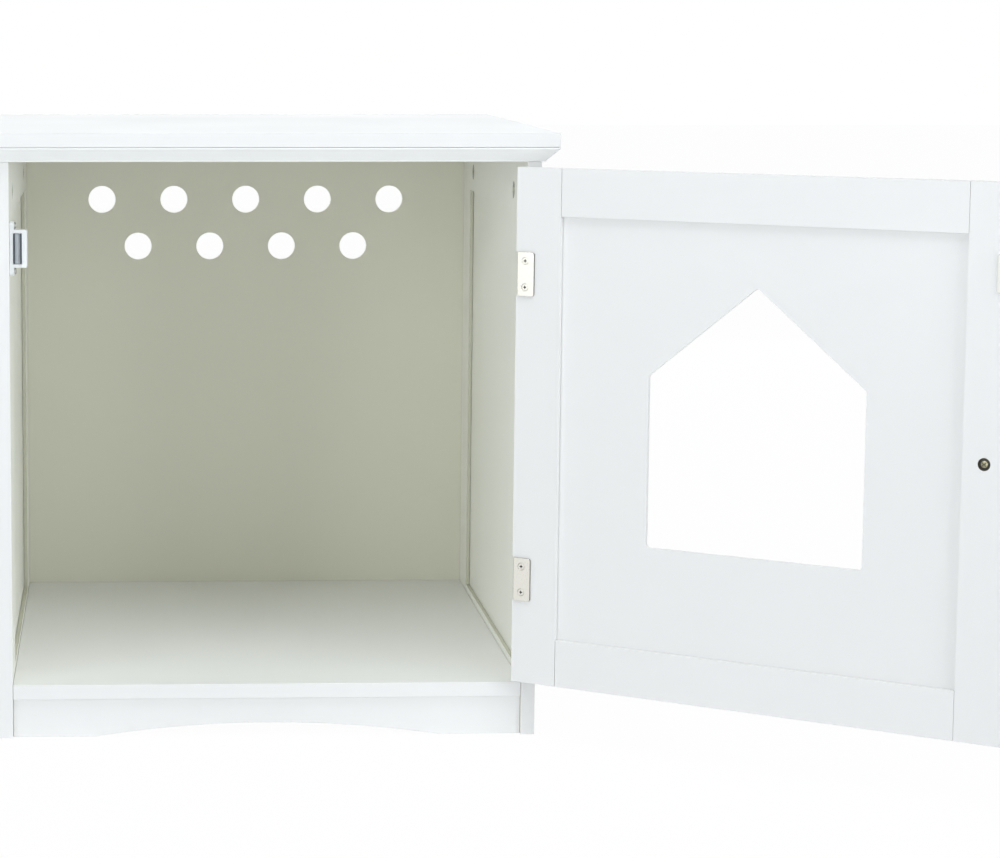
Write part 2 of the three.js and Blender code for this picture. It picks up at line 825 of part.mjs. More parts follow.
// A polygon whose corners are rounded to one radius.
function roundedOutline(corners, radius, path) {
  const count = corners.length;
  corners.forEach((corner, i) => {
    const before = corners[(i + count - 1) % count];
    const after = corners[(i + 1) % count];
    const to_before = before.clone().sub(corner).normalize();
    const to_after = after.clone().sub(corner).normalize();
    const half_angle = Math.acos(to_before.dot(to_after)) / 2;
    const cut = radius / Math.tan(half_angle);
    const start = corner.clone().addScaledVector(to_before, cut);
    const end = corner.clone().addScaledVector(to_after, cut);
    if (i === 0) path.moveTo(start.x, start.y);
    else path.lineTo(start.x, start.y);
    path.quadraticCurveTo(corner.x, corner.y, end.x, end.y);
  });
  path.closePath();
  return path;
}

function doorPanel() {
  const x0 = -door_width + door_stile_width - tongue_length;
  const x1 = -door_stile_width + tongue_length;
  const z0 = door_bottom + door_rail_width - tongue_length;
  const z1 = door_top - door_rail_width + tongue_length;
  const middle = -door_width / 2;
  const sill = door_bottom + opening_sill_height;
  const eaves = sill + opening_wall_height;
  const half = opening_width / 2;
  const outline = new THREE.Shape([[x0, z0], [x1, z0], [x1, z1], [x0, z1]].map(
    ([x, z]) => new THREE.Vector2(x, z),
  ));
  const corners = [
    [middle - half, sill], [middle + half, sill], [middle + half, eaves],
    [middle, eaves + opening_roof_rise], [middle - half, eaves],
  ].map(([x, z]) => new THREE.Vector2(x, z));
  outline.holes.push(roundedOutline(corners, opening_corner_radius, new THREE.Path()));
  const geometry = new THREE.ExtrudeGeometry(outline, {
    depth: thin_panel, bevelEnabled: false, curveSegments: corner_steps,
  });
  geometry.rotateX(Math.PI / 2);
  geometry.translate(0, panel_inner, 0);
  return geometry;
}

place('door_hinge_stile', hingeStile(), 'white_paint', door);
place('door_free_stile', freeStile(), 'white_paint', door);
place('door_top_rail', doorRail(
  door_top - door_rail_width, door_top,
  door_top - door_rail_width - past, door_top - door_rail_width + groove_depth,
), 'white_paint', door);
place('door_bottom_rail', doorRail(
  door_bottom, door_bottom + door_rail_width,
  door_bottom + door_rail_width - groove_depth, door_bottom + door_rail_width + past,
), 'white_paint', door);
place('door_panel', doorPanel(), 'white_paint', door);

// ---------------------------------------------------------------- strike plate and knob

const strike_face = door_inner + seat_gap + strike_thickness;

place('strike_plate', carve([box(
  strike_x0, strike_x0 + strike_width, door_inner + seat_gap, strike_face,
  catch_height - strike_height / 2, catch_height + strike_height / 2,
)], [aim(screwHole(), '-Y', strike_middle, strike_face, catch_height)]), 'zinc', door);
place('strike_screw', aim(
  countersunkScrew(), '-Y', strike_middle, strike_face - seat_gap / 2, catch_height,
), 'zinc', door);

// The knob stands along +Z from its foot at the origin, with a blind hole for its bolt.
function knob() {
  return carve([turned([
    [0, 0],
    [knob_neck_radius + knob_foot_flare, 0],
    [knob_neck_radius, knob_foot_height],
    [knob_neck_radius, knob_length * knob_neck_end],
    ...knob_head.map(([out, along]) => [knob_radius * out, knob_length * along]),
    [0, knob_length],
  ], round_steps)], [
    rod(knob_bolt_radius + screw_hole_clearance, -past, knob_bolt_grip + knob_bolt_end_gap),
  ]);
}
place('knob', aim(knob(), '-Y', knob_x, door_outer - seat_gap, knob_z), 'nickel', door);

function knobBolt() {
  const head_top = knob_counterbore_depth - knob_bolt_head_height - seat_gap;
  const head_foot = knob_counterbore_depth - seat_gap;
  const slot_depth = knob_bolt_head_height / 2;
  return carve([turned([
    [0, head_top],
    [knob_bolt_head_radius * knob_bolt_crown, head_top],
    [knob_bolt_head_radius, head_top + knob_bolt_dome],
    [knob_bolt_head_radius, head_foot],
    [knob_bolt_radius, head_foot],
    [knob_bolt_radius, board + knob_bolt_grip],
    [0, board + knob_bolt_grip],
  ], small_round_steps)], crossCutters(
    knob_bolt_slot_width, knob_bolt_slot_length, head_top, head_top + slot_depth,
  ));
}
place('knob_bolt', aim(knobBolt(), '-Y', knob_x, door_inner, knob_z), 'brass', door);

// ---------------------------------------------------------------- the whole object
// The origin is moved to the floor below the middle of the object's box, door included.

const group = new THREE.Group();
group.add(cabinet);
const extent = new THREE.Box3().setFromObject(group, true);
const middle = extent.getCenter(new THREE.Vector3());
cabinet.position.set(-middle.x, -middle.y, -extent.min.z);

export default group;
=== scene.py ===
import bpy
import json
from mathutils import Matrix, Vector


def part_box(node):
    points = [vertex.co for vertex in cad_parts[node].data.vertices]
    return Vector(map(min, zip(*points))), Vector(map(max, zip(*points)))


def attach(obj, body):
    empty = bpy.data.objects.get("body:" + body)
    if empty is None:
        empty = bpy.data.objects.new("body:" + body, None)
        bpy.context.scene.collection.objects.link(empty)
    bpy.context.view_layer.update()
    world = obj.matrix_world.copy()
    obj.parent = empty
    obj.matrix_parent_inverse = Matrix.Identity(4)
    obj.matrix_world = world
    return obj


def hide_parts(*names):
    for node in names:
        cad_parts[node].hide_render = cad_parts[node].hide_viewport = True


bl_info = {
    "name": "Litter Box Cabinet",
    "version": (1, 0, 0),
    "blender": (4, 5, 0),
    "location": "3D View > Sidebar > Litter Box Cabinet",
    "description": "Models the boards, fittings and finishes of a white litter box cabinet on its frame",
    "category": "Add Mesh",
}

import json
import math

import bmesh
import bpy
from mathutils import Matrix, Vector

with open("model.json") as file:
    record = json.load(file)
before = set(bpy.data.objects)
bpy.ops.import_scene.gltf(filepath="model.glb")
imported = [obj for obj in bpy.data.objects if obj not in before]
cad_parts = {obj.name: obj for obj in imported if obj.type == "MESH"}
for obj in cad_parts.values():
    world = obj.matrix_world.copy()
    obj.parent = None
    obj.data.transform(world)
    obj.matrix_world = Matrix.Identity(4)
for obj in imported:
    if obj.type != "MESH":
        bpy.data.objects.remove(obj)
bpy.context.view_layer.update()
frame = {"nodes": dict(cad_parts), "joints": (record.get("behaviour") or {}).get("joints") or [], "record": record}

MM = 0.001
DOOR_JOINT = frame["joints"][0]
DOOR_OPEN = math.radians(-DOOR_JOINT["range_deg"][0])
PIN = Vector((DOOR_JOINT["pos_m"][0], DOOR_JOINT["pos_m"][1], 0))
BODIES = frame["record"]["behaviour"]["bodies"]

# The cabinet's own corner: the middle of its front, on the floor. Pieces are modelled from there.
LEFT_STILE_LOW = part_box("left_front_stile")[0]
RIGHT_STILE_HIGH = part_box("right_front_stile")[1]
FRONT_MIDDLE = Vector(((LEFT_STILE_LOW.x + RIGHT_STILE_HIGH.x) / 2, LEFT_STILE_LOW.y, 0))

# Sizes that the fittings share with the frame's solids, in millimetres
BOARD = 12.0
HALF_INNER = 222.5  # the cabinet's middle to a side's inner face
DOOR_WIDTH = 440.0  # the pin to the door's free edge
DOOR_BOTTOM = 51.2
SEAT = 0.12  # a fitting to the board that it lies on
MERGE = 0.01  # vertices nearer than this are one

HINGE_MIDDLES = {"upper": 407.2, "lower": 142.2}
HINGE_HALF = 18.75
HINGE_SCREW_RISE = 11.3
HINGE_SCREW_IN = 9.2
PIN_RADIUS = 1.1
PIN_BORE = 1.2
PIN_FORWARD = 2.6  # the pin to the closed door's face
DOOR_GAP = 2.5  # the closed door to each side
KNUCKLE = 2.3
KNUCKLE_GAP = 0.3
LEAF = 1.6
LEAF_WRAP = 0.9  # thickness where the leaf wraps the door's edge
LEAF_WIDTH = 17.7
LEAF_SHEAR = 0.9  # width of the sheared bevel on the leaf's free edge
LEAF_FOLD = 1.3  # radius of the fold round the door's edge
LEAF_SHOULDER = 0.4  # the wrap starts this far behind the closed door's face
FRAME_LEAF = 1.2
FRAME_LEAF_DEPTH = 17.0
SHEARED_EASE = 0.12

CATCH_HEIGHT = 427.0
CATCH_FRONT = 14.37
CATCH_DEEP = 13.0
CATCH_OUT = 15.0
CATCH_HALF = 16.25
CATCH_EAR = 3.8
CATCH_EAR_HALF = 23.25
CATCH_EAR_CORNER = 2.5
CATCH_SCREW_RISE = 19.75
CATCH_SCREW_HOLE = 1.6
POCKET = (2.95, 10.4)  # from the side's face
POCKET_HALF = 13.35
POCKET_WALL = 1.6

STRIKE_WIDTH = 16.0
STRIKE_HALF = 15.5
STRIKE_FROM_EDGE = 2.0
STRIKE_CORNER = 2.0

CAM_HEIGHT = 473.0
CAM_PLACES = {"front": 93.0, "back": 400.0}
CAM_SUNK = 0.25
CAM_CHANNEL = 3.45  # radius of the hole that the cam bolt's head comes in through


# ---------------------------------------------------------------- colours and settings


def to_linear(hex_colour):
    """An sRGB hex colour as linear red, green, blue and full alpha."""
    channels = [int(hex_colour[i : i + 2], 16) / 255 for i in (1, 3, 5)]
    linear = [c / 12.92 if c <= 0.04045 else ((c + 0.055) / 1.055) ** 2.4 for c in channels]
    return (*linear, 1.0)


def colour_setting(name, description, hex_colour):
    return bpy.props.FloatVectorProperty(
        name=name,
        description=description,
        subtype="COLOR",
        size=4,
        min=0,
        max=1,
        default=to_linear(hex_colour),
    )


def length_setting(name, description, millimetres):
    return bpy.props.FloatProperty(
        name=name, description=description, unit="LENGTH", min=0, precision=5, default=millimetres * MM
    )


def power_setting(name, description, watts):
    return bpy.props.FloatProperty(name=name, description=description, unit="POWER", min=0, default=watts)


class CabinetBoardSettings(bpy.types.PropertyGroup):
    edge_ease: length_setting("Edge ease", "Radius of the rounded edges of the thick boards", 0.45)
    panel_ease: length_setting("Panel ease", "Radius of the rounded edges of the thin panels", 0.25)
    moulding_ease: length_setting("Moulding ease", "Radius of the rounded edges of the moulding", 0.3)
    outside_paint: colour_setting("Outside paint", "Paint of the door and the sides", "#eae9e8")
    # Painted shade: the top's upper face gets a darker white than the other boards, so that it doesn't burn out
    # under the lamps above it.
    top_face_shade_colour: colour_setting("Top paint", "Paint of the top slab's upper face", "#e4e4e3")
    # Painted light: the moulding gets a lighter white than the outside paint, to brighten its bevel, which faces
    # down and gets little light.
    moulding_light_colour: colour_setting("Moulding paint", "Paint of the moulding under the top", "#f3f3f2")
    # Painted light: the shelf gets a lighter white than the outside paint, to brighten it inside the cabinet.
    shelf_light_colour: colour_setting("Shelf paint", "Paint of the shelf", "#fafaf7")
    # Painted light: the sides' inner faces get a lighter and warmer white than the outside paint, for the light
    # inside the cabinet.
    inside_light_colour: colour_setting("Inside paint", "Paint of the sides' inner faces", "#fafaf2")
    # Painted shade: the steps beside the sides' panels get a darker, yellower white, to darken them where the
    # frame steps down to the panel.
    step_shade_colour: colour_setting("Edge paint", "Paint on the sawn steps beside the sides' panels", "#d6d6c3")
    # Bare fibreboard with painted shade: the counterbore round the knob's bolt is bare board, coloured much darker
    # for the shade inside the hole.
    core_and_shade_colour: colour_setting("Board core", "Bare fibreboard inside the bolt's counterbore", "#5d5442")
    # Painted light: the back panel's inner face is painted cream, the warm tint of the light inside the cabinet.
    back_light_tint_colour: colour_setting("Back paint", "Paint of the thin back panel", "#eeeddc")


class CabinetFittingSettings(bpy.types.PropertyGroup):
    leaf_corner: length_setting("Leaf corner", "Radius of the hinge leaves' free corners", 2.2)
    catch_corner: length_setting("Catch corner", "Radius of the catch's upright edges", 1.6)
    nickel: colour_setting("Nickel", "Plating of the hinges and the knob", "#d9d7cf")
    zinc: colour_setting("Zinc", "Plating of the strike plate and the screws", "#b9b9b4")
    cam_zinc: colour_setting("Cam zinc", "Bare cast zinc of the cam locks", "#a6a79f")
    # Painted shade: the catch's pole plates are coloured near black, for the shade and the dark reflections that
    # they show deep in the pocket.
    pole_plate_shade_colour: colour_setting("Pole steel", "Blackened steel of the catch's pole plates", "#565c62")
    # Bare sheared steel with painted shade: the leaves' cut edges are coloured darker, for the dark line of shade
    # along the free edge.
    sheared_and_shaded_steel: colour_setting("Cut steel", "Sheared edges of the hinge leaves", "#8f8f8a")
    # Painted shade: the insides of the screws' recesses and the bolt's sunk flange get a dark steel, for the shade
    # in them.
    recess_painted_shade: colour_setting("Recess steel", "Insides of the screws' recesses", "#4c4c47")
    yellow_zinc: colour_setting("Yellow zinc", "Plating of the knob's bolt", "#bdb999")
    plastic: colour_setting("Plastic", "Moulded housing of the catch", "#f0f2f4")


class CabinetStudioSettings(bpy.types.PropertyGroup):
    ambient: bpy.props.FloatProperty(
        name="Ambient", description="Strength of the even light from all round", min=0, default=0.3
    )
    light_colour: colour_setting("Light colour", "Cool daylight of the lamps and the room", "#f7fcff")
    high_power: power_setting("High lamp", "Power of the lamp high above the doorway", 29.0)
    right_power: power_setting("Right lamp", "Power of the lamp at the right", 36.0)
    left_power: power_setting("Left lamp", "Power of the lamp at the left", 33.0)
    low_power: power_setting("Low lamp", "Power of the long lamp that looks into the cabinet", 4.0)
    sheen_power: power_setting("Sheen lamp", "Power of the lamp that the top's sheen mirrors", 10.0)
    rear_power: power_setting("Rear lamps", "Power of each of the two lamps behind the cabinet", 16.0)
    focal_length: bpy.props.FloatProperty(
        name="Focal length", description="Camera lens", unit="CAMERA", min=1, default=107.43
    )


# ---------------------------------------------------------------- modelling helpers


def deselect_all():
    if bpy.context.object and bpy.context.object.mode != "OBJECT":
        bpy.ops.object.mode_set(mode="OBJECT")
    bpy.ops.object.select_all(action="DESELECT")


def activate(piece):
    deselect_all()
    piece.select_set(True)
    bpy.context.view_layer.objects.active = piece


def place_origin(piece):
    """Puts the piece's place into its mesh, so its object sits at the origin."""
    activate(piece)
    bpy.ops.object.transform_apply(location=True, rotation=True, scale=True)


def block(name, low, high):
    """A box between two corners in millimetres."""
    deselect_all()
    low, high = Vector(low) * MM, Vector(high) * MM
    bpy.ops.mesh.primitive_cube_add(size=1, location=(low + high) / 2, scale=high - low)
    piece = bpy.context.object
    piece.name = name
    place_origin(piece)
    return piece


def edit(piece, kind):
    activate(piece)
    bpy.ops.object.mode_set(mode="EDIT")
    bpy.ops.mesh.select_mode(type=kind)
    bpy.ops.mesh.select_all(action="DESELECT")


def pick(piece, kind, test):
    """Selects the faces or edges of the piece in edit mode that pass the test."""
    edit(piece, kind)
    mesh = bmesh.from_edit_mesh(piece.data)
    for element in mesh.faces if kind == "FACE" else mesh.edges:
        if test(element):
            element.select_set(True)
    bmesh.update_edit_mesh(piece.data)


def facing(direction):
    """A test for faces that look along direction."""
    way = Vector(direction)
    return lambda face: face.normal.dot(way) > 0.99


def edge_at(along, **places):
    """A test for edges along one axis that lie at the given places, in millimetres."""
    axes = {"x": 0, "y": 1, "z": 2}

    def test(edge):
        a, b = (v.co for v in edge.verts)
        direction = (b - a).normalized()
        if abs(direction[axes[along]]) < 0.99:
            return False
        middle = (a + b) / 2
        return all(abs(middle[axes[key]] - value * MM) < 0.02 * MM for key, value in places.items())

    return test


def round_edges(piece, tests, radius, segments=5):
    pick(piece, "EDGE", lambda edge: any(test(edge) for test in tests))
    bpy.ops.mesh.bevel(offset=radius, offset_type="OFFSET", segments=segments, affect="EDGES")
    bpy.ops.object.mode_set(mode="OBJECT")


def push_face(piece, test, offset):
    """Extrudes the faces that pass the test by an offset in millimetres."""
    pick(piece, "FACE", test)
    move = {"value": Vector(offset) * MM}
    bpy.ops.mesh.extrude_region_move(TRANSFORM_OT_translate=move)
    bpy.ops.object.mode_set(mode="OBJECT")


def ease(piece, radius, segments=2, angle=30):
    """Rounds every edge sharper than the angle."""
    activate(piece)
    bevel = piece.modifiers.new("Ease", "BEVEL")
    bevel.width = radius
    bevel.segments = segments
    bevel.limit_method = "ANGLE"
    bevel.angle_limit = math.radians(angle)
    bpy.ops.object.modifier_apply(modifier=bevel.name)


def boolean(piece, others, operation):
    for other in others:
        activate(piece)
        step = piece.modifiers.new("Join", "BOOLEAN")
        step.operation = operation
        step.solver = "EXACT"
        step.object = other
        bpy.ops.object.modifier_apply(modifier=step.name)
        bpy.data.objects.remove(other)
    return piece


def turned(name, profile, steps=48):
    """A turned shape round Z, from (radius, height) pairs in millimetres, none of them on the axis."""
    deselect_all()
    radius, height = profile[0]
    bpy.ops.mesh.primitive_circle_add(
        vertices=steps, radius=radius * MM, fill_type="NOTHING", location=(0, 0, height * MM)
    )
    piece = bpy.context.object
    piece.name = name
    place_origin(piece)
    bpy.ops.object.mode_set(mode="EDIT")
    bpy.ops.mesh.select_mode(type="EDGE")
    bpy.ops.mesh.select_all(action="SELECT")
    for next_radius, next_height in profile[1:]:
        rise = {"value": (0, 0, (next_height - height) * MM)}
        bpy.ops.mesh.extrude_edges_move(TRANSFORM_OT_translate=rise)
        ratio = next_radius / radius
        bpy.ops.transform.resize(value=(ratio, ratio, 1), center_override=(0, 0, next_height * MM))
        radius, height = next_radius, next_height
    bpy.ops.mesh.select_all(action="SELECT")
    bpy.ops.mesh.fill_holes(sides=0)
    bpy.ops.mesh.select_all(action="SELECT")
    bpy.ops.mesh.normals_make_consistent(inside=False)
    bpy.ops.object.mode_set(mode="OBJECT")
    return piece


def merged_copy(name, node):
    """A copy of a frame's solid, with its triangles merged back into whole flat faces."""
    piece = bpy.data.objects.new(name, frame["nodes"][node].data.copy())
    bpy.context.scene.collection.objects.link(piece)
    edit(piece, "FACE")
    bpy.ops.mesh.select_all(action="SELECT")
    bpy.ops.mesh.remove_doubles(threshold=MERGE * MM)
    bpy.ops.mesh.dissolve_limited(angle_limit=math.radians(0.5))
    bpy.ops.object.mode_set(mode="OBJECT")
    return piece


def aim(piece, direction, place):
    """Turns a piece that stands along Z to point along direction, then moves it by millimetres."""
    turn = Vector((0, 0, 1)).rotation_difference(Vector(direction))
    piece.matrix_world = Matrix.Translation(Vector(place) * MM) @ turn.to_matrix().to_4x4()
    place_origin(piece)
    return piece


def cross_recess(piece, reach, depth, face=0.0):
    """Cuts a cross into the end of a piece that stands along Z, which faces down at the height face."""
    half_arm = reach * 0.3
    arms = []
    for half_x, half_y in ((half_arm, reach), (reach, half_arm)):
        arm = block("cutter", (-half_x, -half_y, face - 1), (half_x, half_y, face + depth))
        pick(arm, "FACE", facing((0, 0, 1)))
        bpy.ops.transform.resize(value=(0.6, 0.6, 1), center_override=(0, 0, (face + depth) * MM))
        bpy.ops.object.mode_set(mode="OBJECT")
        arms.append(arm)
    return boolean(piece, arms, "DIFFERENCE")


def paint_shade_in_recess(piece, reach, depth, face=0.0):
    """Paints shade on the walls and the floor of a cross recess, with a dark steel colour."""

    def in_recess(side):
        if abs(side.center.z - (face + depth) * MM) < 0.02 * MM:
            return True
        deep = face + 0.1 < side.center.z / MM < face + depth + 0.05
        return deep and side.center.xy.length < reach * MM and abs(side.normal.z) < 0.99

    repaint(piece, finish_of("recess_painted_shade"), in_recess)
    return piece


def another(piece, name):
    """A copy of a piece with its own mesh."""
    activate(piece)
    bpy.ops.object.duplicate(linked=False)
    copy = bpy.context.object
    copy.name = name
    return copy


def on_cabinet(piece):
    piece.matrix_world = Matrix.Translation(FRONT_MIDDLE)
    place_origin(piece)
    return piece


def on_door(piece):
    """Moves a piece from the closed door, with the pin at the origin, to where the door stands."""
    piece.matrix_world = Matrix.Translation(PIN) @ Matrix.Rotation(DOOR_OPEN, 4, "Z")
    place_origin(piece)
    return piece


def finish_piece(piece, material, slot, *nodes):
    """Smooths, paints and hangs a finished piece on the body of the solids that it stands for."""
    activate(piece)
    bpy.ops.object.shade_smooth_by_angle(angle=math.radians(50))
    weighted = piece.modifiers.new("Flat faces", "WEIGHTED_NORMAL")
    weighted.keep_sharp = True
    weighted.weight = 100
    bpy.ops.object.modifier_apply(modifier=weighted.name)
    if piece.data.materials:
        piece.data.materials[0] = material
    else:
        piece.data.materials.append(material)
    body = next(name for name, members in BODIES.items() if nodes[0] in members)
    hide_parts(*nodes)
    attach(piece, body)


def repaint(piece, material, test):
    """Gives the faces that pass the test a finish of their own, after the piece's main one."""
    if not piece.data.materials:
        piece.data.materials.append(None)
    piece.data.materials.append(material)
    for face in piece.data.polygons:
        if test(face):
            face.material_index = len(piece.data.materials) - 1


# ---------------------------------------------------------------- materials


def add_node(tree, kind, settings=None, links=None):
    """Adds a node, sets its inputs or its own settings by name, and links its inputs."""
    node = tree.nodes.new(kind)
    for key, value in (settings or {}).items():
        if not isinstance(key, str) or key in node.inputs:
            node.inputs[key].default_value = value
        else:
            setattr(node, key, value)
    for key, source in (links or {}).items():
        tree.links.new(source, node.inputs[key])
    return node


def new_material(name):
    material = bpy.data.materials.new(name)
    material.use_nodes = True
    material.node_tree.nodes.clear()
    return material, material.node_tree


def lacquer(name, colour, roughness, mottle=0.012):
    """Sprayed white lacquer on fibreboard. The spray leaves a faint orange peel about 3 mm across,
    drawn a little coarser than real so that it shows, over a slow waviness from sanding by hand."""
    material, tree = new_material(name)
    place = add_node(tree, "ShaderNodeTexCoord").outputs["Object"]
    peel = add_node(tree, "ShaderNodeTexNoise", {"Scale": 1 / (3 * MM), "Detail": 2.0}, {"Vector": place})
    wave = add_node(tree, "ShaderNodeTexNoise", {"Scale": 1 / (45 * MM), "Detail": 1.0}, {"Vector": place})
    cloud = add_node(
        tree, "ShaderNodeTexNoise", {"Scale": 1 / (120 * MM), "Detail": 3.0}, {"Vector": place}
    )
    sunk = add_node(
        tree, "ShaderNodeBump", {"Strength": 0.35, "Distance": 0.12 * MM}, {"Height": wave.outputs["Fac"]}
    )
    bumped = add_node(
        tree,
        "ShaderNodeBump",
        {"Strength": 0.25, "Distance": 0.02 * MM},
        {"Height": peel.outputs["Fac"], "Normal": sunk.outputs["Normal"]},
    )
    shade = tuple(c * (1 - mottle) for c in colour[:3]) + (1.0,)
    tone = add_node(
        tree, "ShaderNodeMix", {"data_type": "RGBA", 6: colour, 7: shade}, {0: cloud.outputs["Fac"]}
    )
    sheen = add_node(
        tree,
        "ShaderNodeMapRange",
        {"To Min": roughness - 0.05, "To Max": roughness + 0.05},
        {"Value": cloud.outputs["Fac"]},
    )
    paint = add_node(
        tree,
        "ShaderNodeBsdfPrincipled",
        {"IOR": 1.5},
        {"Base Color": tone.outputs[2], "Roughness": sheen.outputs[0], "Normal": bumped.outputs["Normal"]},
    )
    add_node(tree, "ShaderNodeOutputMaterial", None, {"Surface": paint.outputs["BSDF"]})
    return material


def plated_metal(name, colour, roughness, grain_mm=0.6):
    """Plated, cast or bare steel or zinc. Fine marks, grain_mm across, break up the reflections."""
    material, tree = new_material(name)
    place = add_node(tree, "ShaderNodeTexCoord").outputs["Object"]
    grain = add_node(
        tree, "ShaderNodeTexNoise", {"Scale": 1 / (grain_mm * MM), "Detail": 3.0}, {"Vector": place}
    )
    bumped = add_node(
        tree, "ShaderNodeBump", {"Strength": 0.2, "Distance": 0.02 * MM}, {"Height": grain.outputs["Fac"]}
    )
    worn = add_node(
        tree,
        "ShaderNodeMapRange",
        {"To Min": roughness - 0.06, "To Max": roughness + 0.08},
        {"Value": grain.outputs["Fac"]},
    )
    metal = add_node(
        tree,
        "ShaderNodeBsdfPrincipled",
        {"Base Color": colour, "Metallic": 1.0},
        {"Roughness": worn.outputs[0], "Normal": bumped.outputs["Normal"]},
    )
    add_node(tree, "ShaderNodeOutputMaterial", None, {"Surface": metal.outputs["BSDF"]})
    return material


def moulded_plastic(name, colour, roughness):
    """Injection-moulded ABS, with the faint sparked texture of its mould, about 0.4 mm across."""
    material, tree = new_material(name)
    place = add_node(tree, "ShaderNodeTexCoord").outputs["Object"]
    spark = add_node(
        tree, "ShaderNodeTexNoise", {"Scale": 1 / (0.4 * MM), "Detail": 2.0}, {"Vector": place}
    )
    bumped = add_node(
        tree, "ShaderNodeBump", {"Strength": 0.15, "Distance": 0.02 * MM}, {"Height": spark.outputs["Fac"]}
    )
    plastic = add_node(
        tree,
        "ShaderNodeBsdfPrincipled",
        {"Base Color": colour, "Roughness": roughness, "IOR": 1.53},
        {"Normal": bumped.outputs["Normal"]},
    )
    add_node(tree, "ShaderNodeOutputMaterial", None, {"Surface": plastic.outputs["BSDF"]})
    return material


def sintered_ferrite(name):
    """Pressed and fired ferrite, ground pale grey on its faces, with a grit about 0.3 mm across."""
    material, tree = new_material(name)
    place = add_node(tree, "ShaderNodeTexCoord").outputs["Object"]
    grit = add_node(tree, "ShaderNodeTexNoise", {"Scale": 1 / (0.3 * MM), "Detail": 4.0}, {"Vector": place})
    tone = add_node(
        tree,
        "ShaderNodeMix",
        {"data_type": "RGBA", 6: to_linear("#b9bec5"), 7: to_linear("#c6cbd1")},
        {0: grit.outputs["Fac"]},
    )
    ceramic = add_node(
        tree, "ShaderNodeBsdfPrincipled", {"Roughness": 0.75}, {"Base Color": tone.outputs[2]}
    )
    add_node(tree, "ShaderNodeOutputMaterial", None, {"Surface": ceramic.outputs["BSDF"]})
    return material


def beech(name):
    """Turned beech dowel: pale, with short brown flecks along the rod."""
    material, tree = new_material(name)
    place = add_node(tree, "ShaderNodeTexCoord").outputs["Object"]
    fleck_size = (1 / (6 * MM), 1 / (0.8 * MM), 1 / (0.8 * MM))
    along = add_node(tree, "ShaderNodeMapping", {"Scale": fleck_size}, {0: place})
    fleck = add_node(
        tree, "ShaderNodeTexNoise", {"Scale": 1.0, "Detail": 3.0}, {"Vector": along.outputs[0]}
    )
    tone = add_node(
        tree,
        "ShaderNodeMix",
        {"data_type": "RGBA", 6: to_linear("#d9bd94"), 7: to_linear("#b98f62")},
        {0: fleck.outputs["Fac"]},
    )
    wood = add_node(tree, "ShaderNodeBsdfPrincipled", {"Roughness": 0.7}, {"Base Color": tone.outputs[2]})
    add_node(tree, "ShaderNodeOutputMaterial", None, {"Surface": wood.outputs["BSDF"]})
    return material


def finish_of(name):
    """The material of that name, made from the scene's settings the first time it is asked for."""
    made = bpy.data.materials.get(name)
    if made:
        return made
    boards = bpy.context.scene.cabinet_boards
    fittings = bpy.context.scene.cabinet_fittings
    makers = {
        "outside_lacquer": lambda: lacquer(name, boards.outside_paint, 0.4),
        "top_face_painted_shade": lambda: lacquer(name, boards.top_face_shade_colour, 0.36),
        "painted_light_moulding": lambda: lacquer(name, boards.moulding_light_colour, 0.4),
        "painted_light_shelf": lambda: lacquer(name, boards.shelf_light_colour, 0.45),
        "painted_light_inside": lambda: lacquer(name, boards.inside_light_colour, 0.5),
        "painted_shade_steps": lambda: lacquer(name, boards.step_shade_colour, 0.6, 0.02),
        "shaded_bare_core": lambda: lacquer(name, boards.core_and_shade_colour, 0.85, 0.2),
        "painted_light_tint_back": lambda: lacquer(name, boards.back_light_tint_colour, 0.5, 0.02),
        "satin_nickel": lambda: plated_metal(name, fittings.nickel, 0.28),
        "bright_zinc": lambda: plated_metal(name, fittings.zinc, 0.35),
        "dull_zinc": lambda: plated_metal(name, fittings.zinc, 0.45),
        "cast_zinc": lambda: plated_metal(name, fittings.cam_zinc, 0.5, 1.2),
        "painted_shade_pole_plates": lambda: plated_metal(name, fittings.pole_plate_shade_colour, 0.4),
        "sheared_and_shaded_steel": lambda: plated_metal(name, fittings.sheared_and_shaded_steel, 0.5, 0.4),
        "recess_painted_shade": lambda: plated_metal(name, fittings.recess_painted_shade, 0.5),
        "yellow_zinc": lambda: plated_metal(name, fittings.yellow_zinc, 0.38),
        "white_abs": lambda: moulded_plastic(name, fittings.plastic, 0.38),
        "ground_ferrite": lambda: sintered_ferrite(name),
        "turned_beech": lambda: beech(name),
    }
    return makers[name]()


# ---------------------------------------------------------------- boards

MOULDINGS = ("front_moulding", "left_moulding", "right_moulding", "back_batten")
SIDES = {"left": -1, "right": 1}
SIDE_BOARDS = ("front_stile", "back_stile", "top_rail", "bottom_rail")
DOOR_BOARDS = ("hinge_stile", "free_stile", "top_rail", "bottom_rail")


def eased_board(node, radius, material):
    """A board with softly rounded edges, from a merged copy of its solid."""
    piece = merged_copy("painted_" + node, node)
    ease(piece, radius)
    finish_piece(piece, finish_of(material), "white_paint", node)
    return piece


def paint_inner_faces(piece, way, steps=True):
    """Gives the faces of a side's board that look into the cabinet the inside paint, a lighter white that is
    painted light. The steps from the frame down to the panel, sawn edges, get a darker paint, which is painted
    shade."""
    repaint(piece, finish_of("painted_light_inside"), lambda face: face.normal.x * way < -0.9)
    groove = (HALF_INNER + BOARD / 2 - 1) * MM
    if steps:
        repaint(
            piece,
            finish_of("painted_shade_steps"),
            lambda face: abs(face.center.x - FRONT_MIDDLE.x) < groove
            and (face.normal.y < -0.9 or abs(face.normal.z) > 0.9),
        )


